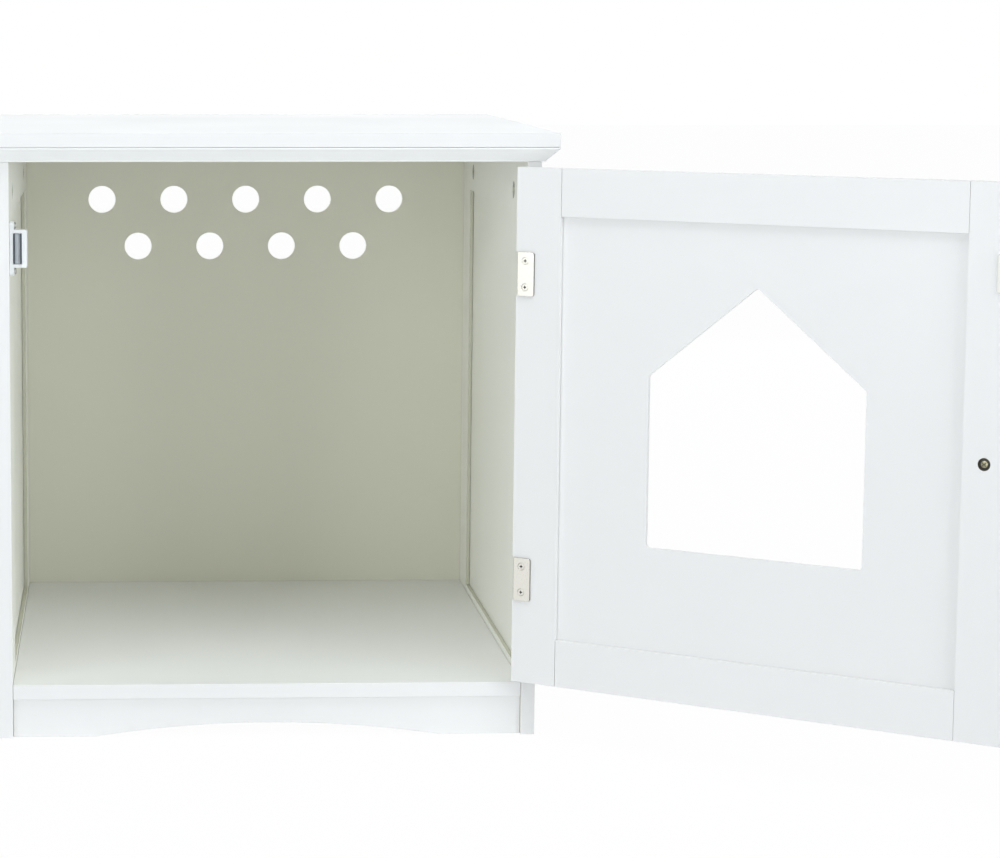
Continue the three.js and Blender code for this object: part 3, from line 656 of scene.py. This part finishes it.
def in_counterbore(face):
    """True for the walls and the floor of the hole that the knob's bolt is sunk into."""
    turn = Matrix.Rotation(DOOR_OPEN, 3, "Z")
    reach = (turn.inverted() @ (face.center - PIN)) / MM
    inside = PIN_FORWARD + 0.05 < reach.y < PIN_FORWARD + BOARD - 0.05
    return inside and math.hypot(reach.x - KNOB_X, reach.z - KNOB_Z) < COUNTERBORE


class CABINET_OT_top_boards(bpy.types.Operator):
    """Model the top slab and the moulding under it"""

    bl_idname = "cabinet.top_boards"
    bl_label = "Top and Moulding"

    def execute(self, context):
        settings = context.scene.cabinet_boards
        slab = eased_board("top_slab", settings.edge_ease, "top_face_painted_shade")
        # Only the upper face keeps the darker top paint, which is painted shade; the slab's other faces get the
        # outside paint.
        repaint(slab, finish_of("outside_lacquer"), lambda face: face.normal.z < 0.9)
        # The mouldings get the lighter moulding paint, which is painted light.
        for node in MOULDINGS:
            eased_board(node, settings.moulding_ease, "painted_light_moulding")
        return {"FINISHED"}


class CABINET_OT_frame_boards(bpy.types.Operator):
    """Model the stiles and rails of the sides and the door, the shelf and the kickboard"""

    bl_idname = "cabinet.frame_boards"
    bl_label = "Frames, Shelf and Kickboard"

    def execute(self, context):
        settings = context.scene.cabinet_boards
        for side, way in SIDES.items():
            for board in SIDE_BOARDS:
                piece = eased_board(f"{side}_{board}", settings.edge_ease, "outside_lacquer")
                paint_inner_faces(piece, way, board != "front_stile")
        for board in DOOR_BOARDS:
            piece = eased_board(f"door_{board}", settings.edge_ease, "outside_lacquer")
            if board == "free_stile":
                # The counterbore's walls and floor get the dark core colour: bare board and painted shade.
                repaint(piece, finish_of("shaded_bare_core"), in_counterbore)
        eased_board("kickboard", settings.edge_ease, "outside_lacquer")
        # The shelf's upper face gets the lighter shelf paint, which is painted light; its front gets the outside
        # paint.
        shelf = eased_board("bottom_shelf", settings.edge_ease, "painted_light_shelf")
        repaint(shelf, finish_of("outside_lacquer"), lambda face: face.normal.y < -0.9)
        return {"FINISHED"}


class CABINET_OT_thin_panels(bpy.types.Operator):
    """Model the thin panels of the sides, the door and the back"""

    bl_idname = "cabinet.thin_panels"
    bl_label = "Thin Panels"

    def execute(self, context):
        settings = context.scene.cabinet_boards
        for side, way in SIDES.items():
            paint_inner_faces(eased_board(f"{side}_panel", settings.panel_ease, "outside_lacquer"), way)
        eased_board("door_panel", settings.panel_ease, "outside_lacquer")
        back = eased_board("back_panel", settings.panel_ease, "painted_light_tint_back")
        # Only the back's outer face gets the outside paint; the rest keeps the cream, which is painted light.
        repaint(back, finish_of("outside_lacquer"), lambda face: face.normal.y > 0.9)
        return {"FINISHED"}


# ---------------------------------------------------------------- screws

SUNK = 0.2  # a countersunk head below the leaf's face
COUNTERSUNK = ((2.75, 0.0), (2.9, 0.12), (1.3, 1.5), (1.3, 7.4), (0.3, 9.5))
PAN_HEAD = (
    (1.4, -1.55),
    (2.2, -1.4),
    (2.7, -0.95),
    (2.9, -0.4),
    (2.9, 0.0),
    (1.3, 0.0),
    (1.3, 7.4),
    (0.3, 9.5),
)

# A cross recess: its reach, its depth and the height of the head's face
COUNTERSUNK_CROSS = (1.75, 1.3, 0.0)
PAN_CROSS = (1.55, 1.1, -1.55)
BOLT_CROSS = (1.7, 1.0, 0.08)
CAM_CROSS = (5.2, 1.8, 0.0)


def crossed_screw(name, profile, cross):
    """A screw with a cross recess, with painted shade inside it."""
    return paint_shade_in_recess(cross_recess(turned(name, profile), *cross), *cross)


def copies_of(pattern, jobs, place, material, slot):
    """Copies a screw to each job, given as (node, direction, place), and drops the pattern."""
    for node, direction, where in jobs:
        piece = aim(another(pattern, "fitted_" + node), direction, where)
        finish_piece(place(piece), finish_of(material), slot, node)
    bpy.data.objects.remove(pattern)


class CABINET_OT_screws(bpy.types.Operator):
    """Model the screws of the hinges, the catch and the strike plate"""

    bl_idname = "cabinet.screws"
    bl_label = "Screws"

    def execute(self, context):
        frame_jobs = []
        door_jobs = []
        leaf_face = HALF_INNER - DOOR_GAP + KNUCKLE - FRAME_LEAF
        door_face = PIN_FORWARD + BOARD + SEAT + LEAF
        for name, middle in HINGE_MIDDLES.items():
            for end, way in (("top", 1), ("bottom", -1)):
                z = middle + way * HINGE_SCREW_RISE
                in_frame = (leaf_face + SUNK, HINGE_SCREW_IN, z)
                in_door = (-HINGE_SCREW_IN, door_face - SUNK, z)
                frame_jobs.append((f"{name}_frame_screw_{end}", (1, 0, 0), in_frame))
                door_jobs.append((f"{name}_door_screw_{end}", (0, -1, 0), in_door))
        for jobs, place in ((frame_jobs, on_cabinet), (door_jobs, on_door)):
            screw = crossed_screw("pattern", COUNTERSUNK, COUNTERSUNK_CROSS)
            copies_of(screw, jobs, place, "satin_nickel", "nickel")
        strike_face = PIN_FORWARD + BOARD + SEAT + FRAME_LEAF
        strike_middle = -DOOR_WIDTH + STRIKE_FROM_EDGE + STRIKE_WIDTH / 2
        strike_job = ("strike_screw", (0, -1, 0), (strike_middle, strike_face - SUNK, CATCH_HEIGHT))
        screw = crossed_screw("pattern", COUNTERSUNK, COUNTERSUNK_CROSS)
        copies_of(screw, [strike_job], on_door, "bright_zinc", "zinc")
        catch_jobs = []
        for name, way in (("upper", 1), ("lower", -1)):
            z = CATCH_HEIGHT + way * CATCH_SCREW_RISE
            place = (-HALF_INNER + 2 * SEAT + CATCH_EAR, CATCH_FRONT + CATCH_DEEP / 2, z)
            catch_jobs.append((f"catch_screw_{name}", (-1, 0, 0), place))
        screw = crossed_screw("pattern", PAN_HEAD, PAN_CROSS)
        copies_of(screw, catch_jobs, on_cabinet, "bright_zinc", "zinc")
        return {"FINISHED"}


# ---------------------------------------------------------------- hinges


def pin_bore():
    """A rod through a hinge's knuckles, to cut the hole for its pin."""
    return turned("cutter", ((PIN_BORE, -30.0), (PIN_BORE, 30.0)), 32)


def screw_seats(direction, places):
    """Countersinks for a leaf's two screws."""
    profile = ((3.25, -2.0), (3.25, 0.4), (1.45, 1.75), (1.45, 12.0))
    return [aim(turned("cutter", profile, 32), direction, place) for place in places]


def wrap_end(face):
    """A test for the face of the leaf that wraps the door's edge."""
    return face.normal.y < -0.99 and face.calc_center_median().x > -KNUCKLE * MM


def door_leaf(name):
    """The leaf that lies on the door's inner face and wraps its edge to the knuckle."""
    face = PIN_FORWARD + BOARD + SEAT
    outer = face + LEAF
    edge = -KNUCKLE + LEAF_WRAP
    corner = bpy.context.scene.cabinet_fittings.leaf_corner
    leaf = block(name, (-LEAF_WIDTH, face, -HINGE_HALF), (-KNUCKLE, outer, HINGE_HALF))
    push_face(leaf, facing((1, 0, 0)), (LEAF_WRAP, 0, 0))
    push_face(leaf, wrap_end, (0, PIN_FORWARD + LEAF_SHOULDER - face, 0))
    free_corners = [edge_at("y", x=-LEAF_WIDTH, z=way * HINGE_HALF) for way in (-1, 1)]
    round_edges(leaf, free_corners, corner, 6)
    round_edges(leaf, [edge_at("z", x=-LEAF_WIDTH, y=outer)], LEAF_SHEAR * MM, 1)
    round_edges(leaf, [edge_at("z", x=edge, y=outer)], LEAF_FOLD * MM, 5)
    third = HINGE_HALF / 3
    tongue = block("tongue", (-KNUCKLE, 0, -third), (edge, PIN_FORWARD + 1, third))
    knuckle = turned("knuckle", ((KNUCKLE, -third), (KNUCKLE, third)), 40)
    boolean(leaf, [tongue, knuckle], "UNION")
    screws = [(-HINGE_SCREW_IN, outer, way * HINGE_SCREW_RISE) for way in (-1, 1)]
    boolean(leaf, [*screw_seats((0, -1, 0), screws), pin_bore()], "DIFFERENCE")
    ease(leaf, SHEARED_EASE * MM, 1, 40)
    return leaf


def frame_leaf(name):
    """The leaf that lies on the right side's inner face, with a knuckle at each end."""
    inner = KNUCKLE - FRAME_LEAF
    third = HINGE_HALF / 3 + KNUCKLE_GAP
    back = PIN_FORWARD + FRAME_LEAF_DEPTH
    corner = bpy.context.scene.cabinet_fittings.leaf_corner
    leaf = block(name, (inner, PIN_FORWARD - 0.2, -HINGE_HALF), (KNUCKLE, back, HINGE_HALF))
    round_edges(leaf, [edge_at("x", y=back, z=way * HINGE_HALF) for way in (-1, 1)], corner, 6)
    parts = []
    for low, high in ((-HINGE_HALF, -third), (third, HINGE_HALF)):
        parts.append(block("tongue", (inner, 0, low), (KNUCKLE, PIN_FORWARD + 1, high)))
        parts.append(turned("knuckle", ((KNUCKLE, low), (KNUCKLE, high)), 40))
    boolean(leaf, parts, "UNION")
    screws = [(inner, PIN_FORWARD + HINGE_SCREW_IN, way * HINGE_SCREW_RISE) for way in (-1, 1)]
    boolean(leaf, [*screw_seats((1, 0, 0), screws), pin_bore()], "DIFFERENCE")
    ease(leaf, SHEARED_EASE * MM, 1, 40)
    return leaf


def hinge_pin(name):
    profile = ((0.7, -18.95), (PIN_RADIUS, -18.6), (PIN_RADIUS, 18.6), (0.7, 18.95))
    return turned(name, profile, 24)


def sheared_and_shaded_edge(face):
    """True for the sheared edges of a door leaf: its free edge and its two ends. They get a darker steel, partly
    bare steel and partly painted shade.
    """
    free_edge = face.center.x < (-LEAF_WIDTH + LEAF_SHEAR) * MM
    return free_edge or abs(face.center.z) > (HINGE_HALF - 0.05) * MM


class CABINET_OT_hinges(bpy.types.Operator):
    """Model the leaves and pins of the two hinges"""

    bl_idname = "cabinet.hinges"
    bl_label = "Hinges"

    def execute(self, context):
        nickel = finish_of("satin_nickel")
        for name, middle in HINGE_MIDDLES.items():
            rise = (0, 0, middle)
            leaf = door_leaf(f"pressed_{name}_door_leaf")
            # Painted shade, with the bare steel of the cut: the leaf's sheared edges get the darker steel.
            repaint(leaf, finish_of("sheared_and_shaded_steel"), sheared_and_shaded_edge)
            finish_piece(on_door(aim(leaf, (0, 0, 1), rise)), nickel, "nickel", f"{name}_hinge_door_leaf")
            for maker, node in ((frame_leaf, "frame_leaf"), (hinge_pin, "pin")):
                piece = aim(maker(f"pressed_{name}_{node}"), (0, 0, 1), rise)
                piece.matrix_world = Matrix.Translation(PIN)
                place_origin(piece)
                finish_piece(piece, nickel, "nickel", f"{name}_hinge_{node}")
        return {"FINISHED"}


# ---------------------------------------------------------------- catch and strike plate


class CABINET_OT_catch(bpy.types.Operator):
    """Model the magnetic catch and its strike plate"""

    bl_idname = "cabinet.catch"
    bl_label = "Catch and Strike Plate"

    def execute(self, context):
        corner = context.scene.cabinet_fittings.catch_corner
        face = -HALF_INNER + SEAT
        out = face + CATCH_OUT
        back = CATCH_FRONT + CATCH_DEEP
        low, high = CATCH_HEIGHT - CATCH_HALF, CATCH_HEIGHT + CATCH_HALF
        ear_low, ear_high = CATCH_HEIGHT - CATCH_EAR_HALF, CATCH_HEIGHT + CATCH_EAR_HALF
        housing = block("moulded_catch_housing", (face, CATCH_FRONT, low), (out, back, high))
        round_edges(
            housing,
            [edge_at("y", x=out, z=low), edge_at("y", x=out, z=high), edge_at("z", x=out, y=CATCH_FRONT)],
            corner,
            5,
        )
        ears = block("ears", (face, CATCH_FRONT, ear_low), (face + CATCH_EAR, back, ear_high))
        ear_corners = [edge_at("x", y=y, z=z) for y in (CATCH_FRONT, back) for z in (ear_low, ear_high)]
        round_edges(ears, ear_corners, CATCH_EAR_CORNER * MM, 5)
        pocket = block(
            "cutter",
            (face + POCKET[0], CATCH_FRONT - 1, CATCH_HEIGHT - POCKET_HALF),
            (face + POCKET[1], back - POCKET_WALL, CATCH_HEIGHT + POCKET_HALF),
        )
        hole = ((CATCH_SCREW_HOLE, -1.0), (CATCH_SCREW_HOLE, CATCH_EAR + 2.2))
        middle = CATCH_FRONT + CATCH_DEEP / 2
        heights = [CATCH_HEIGHT + way * CATCH_SCREW_RISE for way in (-1, 1)]
        holes = [aim(turned("cutter", hole, 24), (1, 0, 0), (face, middle, z)) for z in heights]
        boolean(housing, [ears], "UNION")
        boolean(housing, [pocket, *holes], "DIFFERENCE")
        ease(housing, 0.25 * MM, 2, 40)
        finish_piece(on_cabinet(housing), finish_of("white_abs"), "white_plastic", "catch_housing")

        # The pole plates get the near-black steel, which is painted shade.
        for node, finish, slot in (
            ("catch_pole_plate_inner", "painted_shade_pole_plates", "zinc"),
            ("catch_pole_plate_outer", "painted_shade_pole_plates", "zinc"),
            ("catch_magnet", "ground_ferrite", "ferrite"),
        ):
            piece = merged_copy("pressed_" + node, node)
            ease(piece, 0.2 * MM)
            finish_piece(piece, finish_of(finish), slot, node)

        seat = PIN_FORWARD + BOARD + SEAT
        left = -DOOR_WIDTH + STRIKE_FROM_EDGE
        right = left + STRIKE_WIDTH
        low, high = CATCH_HEIGHT - STRIKE_HALF, CATCH_HEIGHT + STRIKE_HALF
        strike = block("pressed_strike_plate", (left, seat, low), (right, seat + FRAME_LEAF, high))
        corners = [edge_at("y", x=x, z=z) for x in (left, right) for z in (low, high)]
        round_edges(strike, corners, STRIKE_CORNER * MM)
        screw = ((left + right) / 2, seat + FRAME_LEAF, CATCH_HEIGHT)
        boolean(strike, screw_seats((0, -1, 0), [screw]), "DIFFERENCE")
        ease(strike, 0.15 * MM, 2, 40)
        finish_piece(on_door(strike), finish_of("dull_zinc"), "zinc", "strike_plate")
        return {"FINISHED"}


# ---------------------------------------------------------------- knob

KNOB_X = -DOOR_WIDTH + 24
KNOB_Z = DOOR_BOTTOM + 225
KNOB_HOLE = ((2.15, -1.0), (2.15, 13.0))
COUNTERBORE = 5.22  # just past the radius of the hole that the bolt's head is sunk into
BOLT_DOME = ((1.0, 0.08), (2.1, 0.3), (2.8, 0.8), (3.1, 1.4), (3.1, 1.7))
BOLT_FLANGE = ((4.1, 1.75), (4.2, 1.85), (4.2, 2.28))
BOLT_SHANK = ((2.0, 2.28), (2.0, 23.4), (1.6, 24.0))


def knob_profile():
    """A mushroom knob: a foot, a waist and a domed head, drawn as smooth curves."""
    points = [(7.0, 0.0), (7.0, 0.8), (6.4, 1.6)]
    for i in range(7):
        t = i / 6
        points.append((5.6 - 0.5 * math.sin(math.pi * t) + 0.9 * t * t, 2.2 + 7.0 * t))
    for i in range(1, 15):
        turn = math.radians(-62 + 150 * i / 14)
        points.append((max(0.4, 13 * math.cos(turn)), 16.5 + 6.3 * math.sin(turn)))
    return points


class CABINET_OT_knob(bpy.types.Operator):
    """Model the door's knob and the bolt that holds it"""

    bl_idname = "cabinet.knob"
    bl_label = "Knob"

    def execute(self, context):
        knob = turned("turned_knob", knob_profile(), 64)
        boolean(knob, [turned("cutter", KNOB_HOLE, 32)], "DIFFERENCE")
        aim(knob, (0, -1, 0), (KNOB_X, PIN_FORWARD - SEAT, KNOB_Z))
        finish_piece(on_door(knob), finish_of("satin_nickel"), "nickel", "knob")

        bolt = crossed_screw("threaded_knob_bolt", BOLT_DOME + BOLT_FLANGE + BOLT_SHANK, BOLT_CROSS)
        # Painted shade: the bolt's flange and shank, sunk in the counterbore, get the dark recess colour.
        dome_radius = BOLT_DOME[-1][0] + 0.02
        repaint(bolt, finish_of("recess_painted_shade"), lambda face: face.center.xy.length > dome_radius * MM)
        aim(bolt, (0, -1, 0), (KNOB_X, PIN_FORWARD + BOARD, KNOB_Z))
        finish_piece(on_door(bolt), finish_of("yellow_zinc"), "brass", "knob_bolt")
        return {"FINISHED"}


# ---------------------------------------------------------------- cams


class CABINET_OT_cams(bpy.types.Operator):
    """Model the cam locks in the sides' top rails"""

    bl_idname = "cabinet.cams"
    bl_label = "Cam Locks"

    def execute(self, context):
        profile = ((7.1, 0.0), (7.4, 0.3), (7.4, 8.9))
        cam = cross_recess(turned("pattern", profile, 64), *CAM_CROSS)
        channel = turned("cutter", ((CAM_CHANNEL, -3.2), (CAM_CHANNEL, 12.0)), 32)
        aim(channel, (0, 1, 0), (0, 0, 5.75))
        boolean(cam, [channel], "DIFFERENCE")
        for side, way in SIDES.items():
            for where, y in CAM_PLACES.items():
                node = f"cam_lock_{side}_{where}"
                piece = another(cam, "cast_" + node)
                upright = Matrix.Rotation(math.radians(90), 4, "X")
                tip = upright @ Matrix.Rotation(math.radians(way * 90), 4, "Y")
                place = Vector((way * (HALF_INNER + CAM_SUNK), y, CAM_HEIGHT)) * MM
                piece.matrix_world = Matrix.Translation(place) @ tip
                place_origin(piece)
                finish_piece(on_cabinet(piece), finish_of("cast_zinc"), "zinc", node)
        bpy.data.objects.remove(cam)
        return {"FINISHED"}


class CABINET_OT_hidden_fixings(bpy.types.Operator):
    """Finish the dowels and cam bolts that the boards hide"""

    bl_idname = "cabinet.hidden_fixings"
    bl_label = "Dowels and Cam Bolts"

    def execute(self, context):
        for side in SIDES:
            for where in CAM_PLACES:
                for kind, finish in (("shelf_dowel", "turned_beech"), ("cam_bolt", "bright_zinc")):
                    solid = frame["nodes"][f"{kind}_{side}_{where}"]
                    solid.data.materials.clear()
                    solid.data.materials.append(finish_of(finish))
        return {"FINISHED"}


# ---------------------------------------------------------------- stage


def seen_directly(tree):
    """1 for rays from the camera, and for those that a mirror or glass passes on."""
    path = add_node(tree, "ShaderNodeLightPath")
    mirrored = add_node(
        tree,
        "ShaderNodeMath",
        {"operation": "ADD"},
        {0: path.outputs["Is Camera Ray"], 1: path.outputs["Is Glossy Ray"]},
    )
    return add_node(
        tree,
        "ShaderNodeMath",
        {"operation": "ADD", "use_clamp": True},
        {0: mirrored.outputs[0], 1: path.outputs["Is Transmission Ray"]},
    ).outputs[0]


FLOOR_GLOW = 0.98  # share of plain white in the floor that the camera sees; a lower one shows more shadow


def studio_floor_material():
    """White floor paper, nearly as white as the background to the eye, with only a trace of shadow."""
    material, tree = new_material("studio_paper")
    place = add_node(tree, "ShaderNodeTexCoord").outputs["Object"]
    fibre = add_node(tree, "ShaderNodeTexNoise", {"Scale": 1 / (2 * MM), "Detail": 3.0}, {"Vector": place})
    bumped = add_node(
        tree, "ShaderNodeBump", {"Strength": 0.1, "Distance": 0.05 * MM}, {"Height": fibre.outputs["Fac"]}
    )
    paper = add_node(
        tree, "ShaderNodeBsdfDiffuse", {"Color": to_linear("#f9f9f9")}, {"Normal": bumped.outputs["Normal"]}
    )
    glow = add_node(tree, "ShaderNodeEmission", {"Color": (1, 1, 1, 1), "Strength": 1.0})
    share = add_node(
        tree, "ShaderNodeMath", {"operation": "MULTIPLY", 1: FLOOR_GLOW}, {0: seen_directly(tree)}
    )
    both = add_node(
        tree, "ShaderNodeMixShader", None, {0: share.outputs[0], 1: paper.outputs[0], 2: glow.outputs[0]}
    )
    add_node(tree, "ShaderNodeOutputMaterial", None, {"Surface": both.outputs[0]})
    return material


def studio_world(context, ambient, colour):
    """Even light from all round, which the camera and shiny metal see as a white background."""
    world = bpy.data.worlds.new("studio")
    world.use_nodes = True
    tree = world.node_tree
    tree.nodes.clear()
    light = add_node(tree, "ShaderNodeBackground", {"Color": colour, "Strength": ambient})
    white = add_node(tree, "ShaderNodeBackground", {"Color": (1, 1, 1, 1), "Strength": 1.0})
    both = add_node(
        tree,
        "ShaderNodeMixShader",
        None,
        {0: seen_directly(tree), 1: light.outputs[0], 2: white.outputs[0]},
    )
    add_node(tree, "ShaderNodeOutputWorld", None, {"Surface": both.outputs[0]})
    context.scene.world = world


def area_lamp(name, place, target, size, power, colour=(1, 1, 1, 1)):
    data = bpy.data.lights.new(name, "AREA")
    data.color = colour[:3]
    data.shape = "RECTANGLE"
    data.size, data.size_y = size
    data.energy = power
    lamp = bpy.data.objects.new(name, data)
    bpy.context.scene.collection.objects.link(lamp)
    lamp.location = FRONT_MIDDLE + Vector(place)
    aimed = FRONT_MIDDLE + Vector(target) - lamp.location
    lamp.rotation_euler = aimed.to_track_quat("-Z", "Y").to_euler()
    return lamp


# The photograph's camera, from the cabinet's front middle: place in metres, turns in degrees,
# and the lens's middle as a share of the picture's width from the picture's middle.
CAMERA_PLACE = (-0.12536, -2.55344, 0.62330)
CAMERA_YAW = 2.000
CAMERA_PITCH = 7.358
CAMERA_ROLL = -0.030
CAMERA_SHIFT = (0.2735, -0.0247)


class CABINET_OT_stage(bpy.types.Operator):
    """Set up the floor, the lights and the camera"""

    bl_idname = "cabinet.stage"
    bl_label = "Stage"

    def execute(self, context):
        settings = context.scene.cabinet_studio
        deselect_all()
        bpy.ops.mesh.primitive_plane_add(size=30, location=(0, 0, -0.0002))
        floor = context.object
        floor.name = "studio_floor"
        place_origin(floor)
        floor.data.materials.append(studio_floor_material())

        colour = tuple(settings.light_colour)
        studio_world(context, settings.ambient, colour)
        for name, place, target, size, power in (
            ("high_lamp", (0.0, -1.0, 2.6), (0.0, 0.1, 0.3), (1.6, 1.6), settings.high_power),
            ("right_lamp", (2.4, -2.4, 0.85), (0.0, 0.1, 0.3), (1.4, 1.2), settings.right_power),
            ("left_lamp", (-2.4, -2.4, 0.85), (0.0, 0.1, 0.3), (1.4, 1.2), settings.left_power),
            ("low_lamp", (-0.3, -3.2, 0.25), (0.05, 0.2, 0.2), (2.0, 0.4), settings.low_power),
            ("sheen_lamp", (0.2, 3.2, 0.75), (0.0, 0.4, 0.3), (2.4, 1.4), settings.sheen_power),
            ("rear_right_lamp", (2.4, 2.7, 1.0), (0.0, 0.4, 0.3), (1.4, 1.2), settings.rear_power),
            ("rear_left_lamp", (-2.4, 2.7, 1.0), (0.0, 0.4, 0.3), (1.4, 1.2), settings.rear_power),
        ):
            area_lamp(name, place, target, size, power, colour)

        data = bpy.data.cameras.new("camera")
        camera = bpy.data.objects.new("camera", data)
        context.scene.collection.objects.link(camera)
        data.sensor_width = 36
        data.lens = settings.focal_length
        data.shift_x, data.shift_y = CAMERA_SHIFT
        data.clip_start, data.clip_end = 0.05, 100
        camera.location = FRONT_MIDDLE + Vector(CAMERA_PLACE)
        turn = Matrix.Rotation(math.radians(-CAMERA_YAW), 3, "Z")
        tip = Matrix.Rotation(math.radians(90 - CAMERA_PITCH), 3, "X")
        roll = Matrix.Rotation(math.radians(-CAMERA_ROLL), 3, "Z")
        camera.rotation_euler = (turn @ tip @ roll).to_euler()
        context.scene.camera = camera
        context.scene.view_settings.view_transform = "Standard"
        return {"FINISHED"}


# ---------------------------------------------------------------- panel and start

PIECE_OPERATORS = (
    CABINET_OT_top_boards,
    CABINET_OT_frame_boards,
    CABINET_OT_thin_panels,
    CABINET_OT_hinges,
    CABINET_OT_screws,
    CABINET_OT_catch,
    CABINET_OT_knob,
    CABINET_OT_cams,
    CABINET_OT_hidden_fixings,
    CABINET_OT_stage,
)


class CABINET_PT_sidebar(bpy.types.Panel):
    """Lists the cabinet's settings and the steps that make it"""

    bl_idname = "CABINET_PT_sidebar"
    bl_label = "Litter Box Cabinet"
    bl_space_type = "VIEW_3D"
    bl_region_type = "UI"
    bl_category = "Litter Box Cabinet"

    def draw(self, context):
        scene = context.scene
        for settings in (scene.cabinet_boards, scene.cabinet_fittings, scene.cabinet_studio):
            box = self.layout.box()
            for name in settings.__annotations__:
                box.prop(settings, name)
        for operator in PIECE_OPERATORS:
            self.layout.operator(operator.bl_idname)


SETTINGS = {
    "cabinet_boards": CabinetBoardSettings,
    "cabinet_fittings": CabinetFittingSettings,
    "cabinet_studio": CabinetStudioSettings,
}


def register():
    for settings in SETTINGS.values():
        bpy.utils.register_class(settings)
    for operator in PIECE_OPERATORS:
        bpy.utils.register_class(operator)
    bpy.utils.register_class(CABINET_PT_sidebar)
    for name, settings in SETTINGS.items():
        setattr(bpy.types.Scene, name, bpy.props.PointerProperty(type=settings))


def unregister():
    for name in SETTINGS:
        delattr(bpy.types.Scene, name)
    bpy.utils.unregister_class(CABINET_PT_sidebar)
    for operator in reversed(PIECE_OPERATORS):
        bpy.utils.unregister_class(operator)
    for settings in reversed(SETTINGS.values()):
        bpy.utils.unregister_class(settings)


def main():
    register()
    bpy.ops.cabinet.top_boards()
    bpy.ops.cabinet.frame_boards()
    bpy.ops.cabinet.thin_panels()
    bpy.ops.cabinet.hinges()
    bpy.ops.cabinet.screws()
    bpy.ops.cabinet.catch()
    bpy.ops.cabinet.knob()
    bpy.ops.cabinet.cams()
    bpy.ops.cabinet.hidden_fixings()
    bpy.ops.cabinet.stage()


if __name__ == "__main__":
    main()
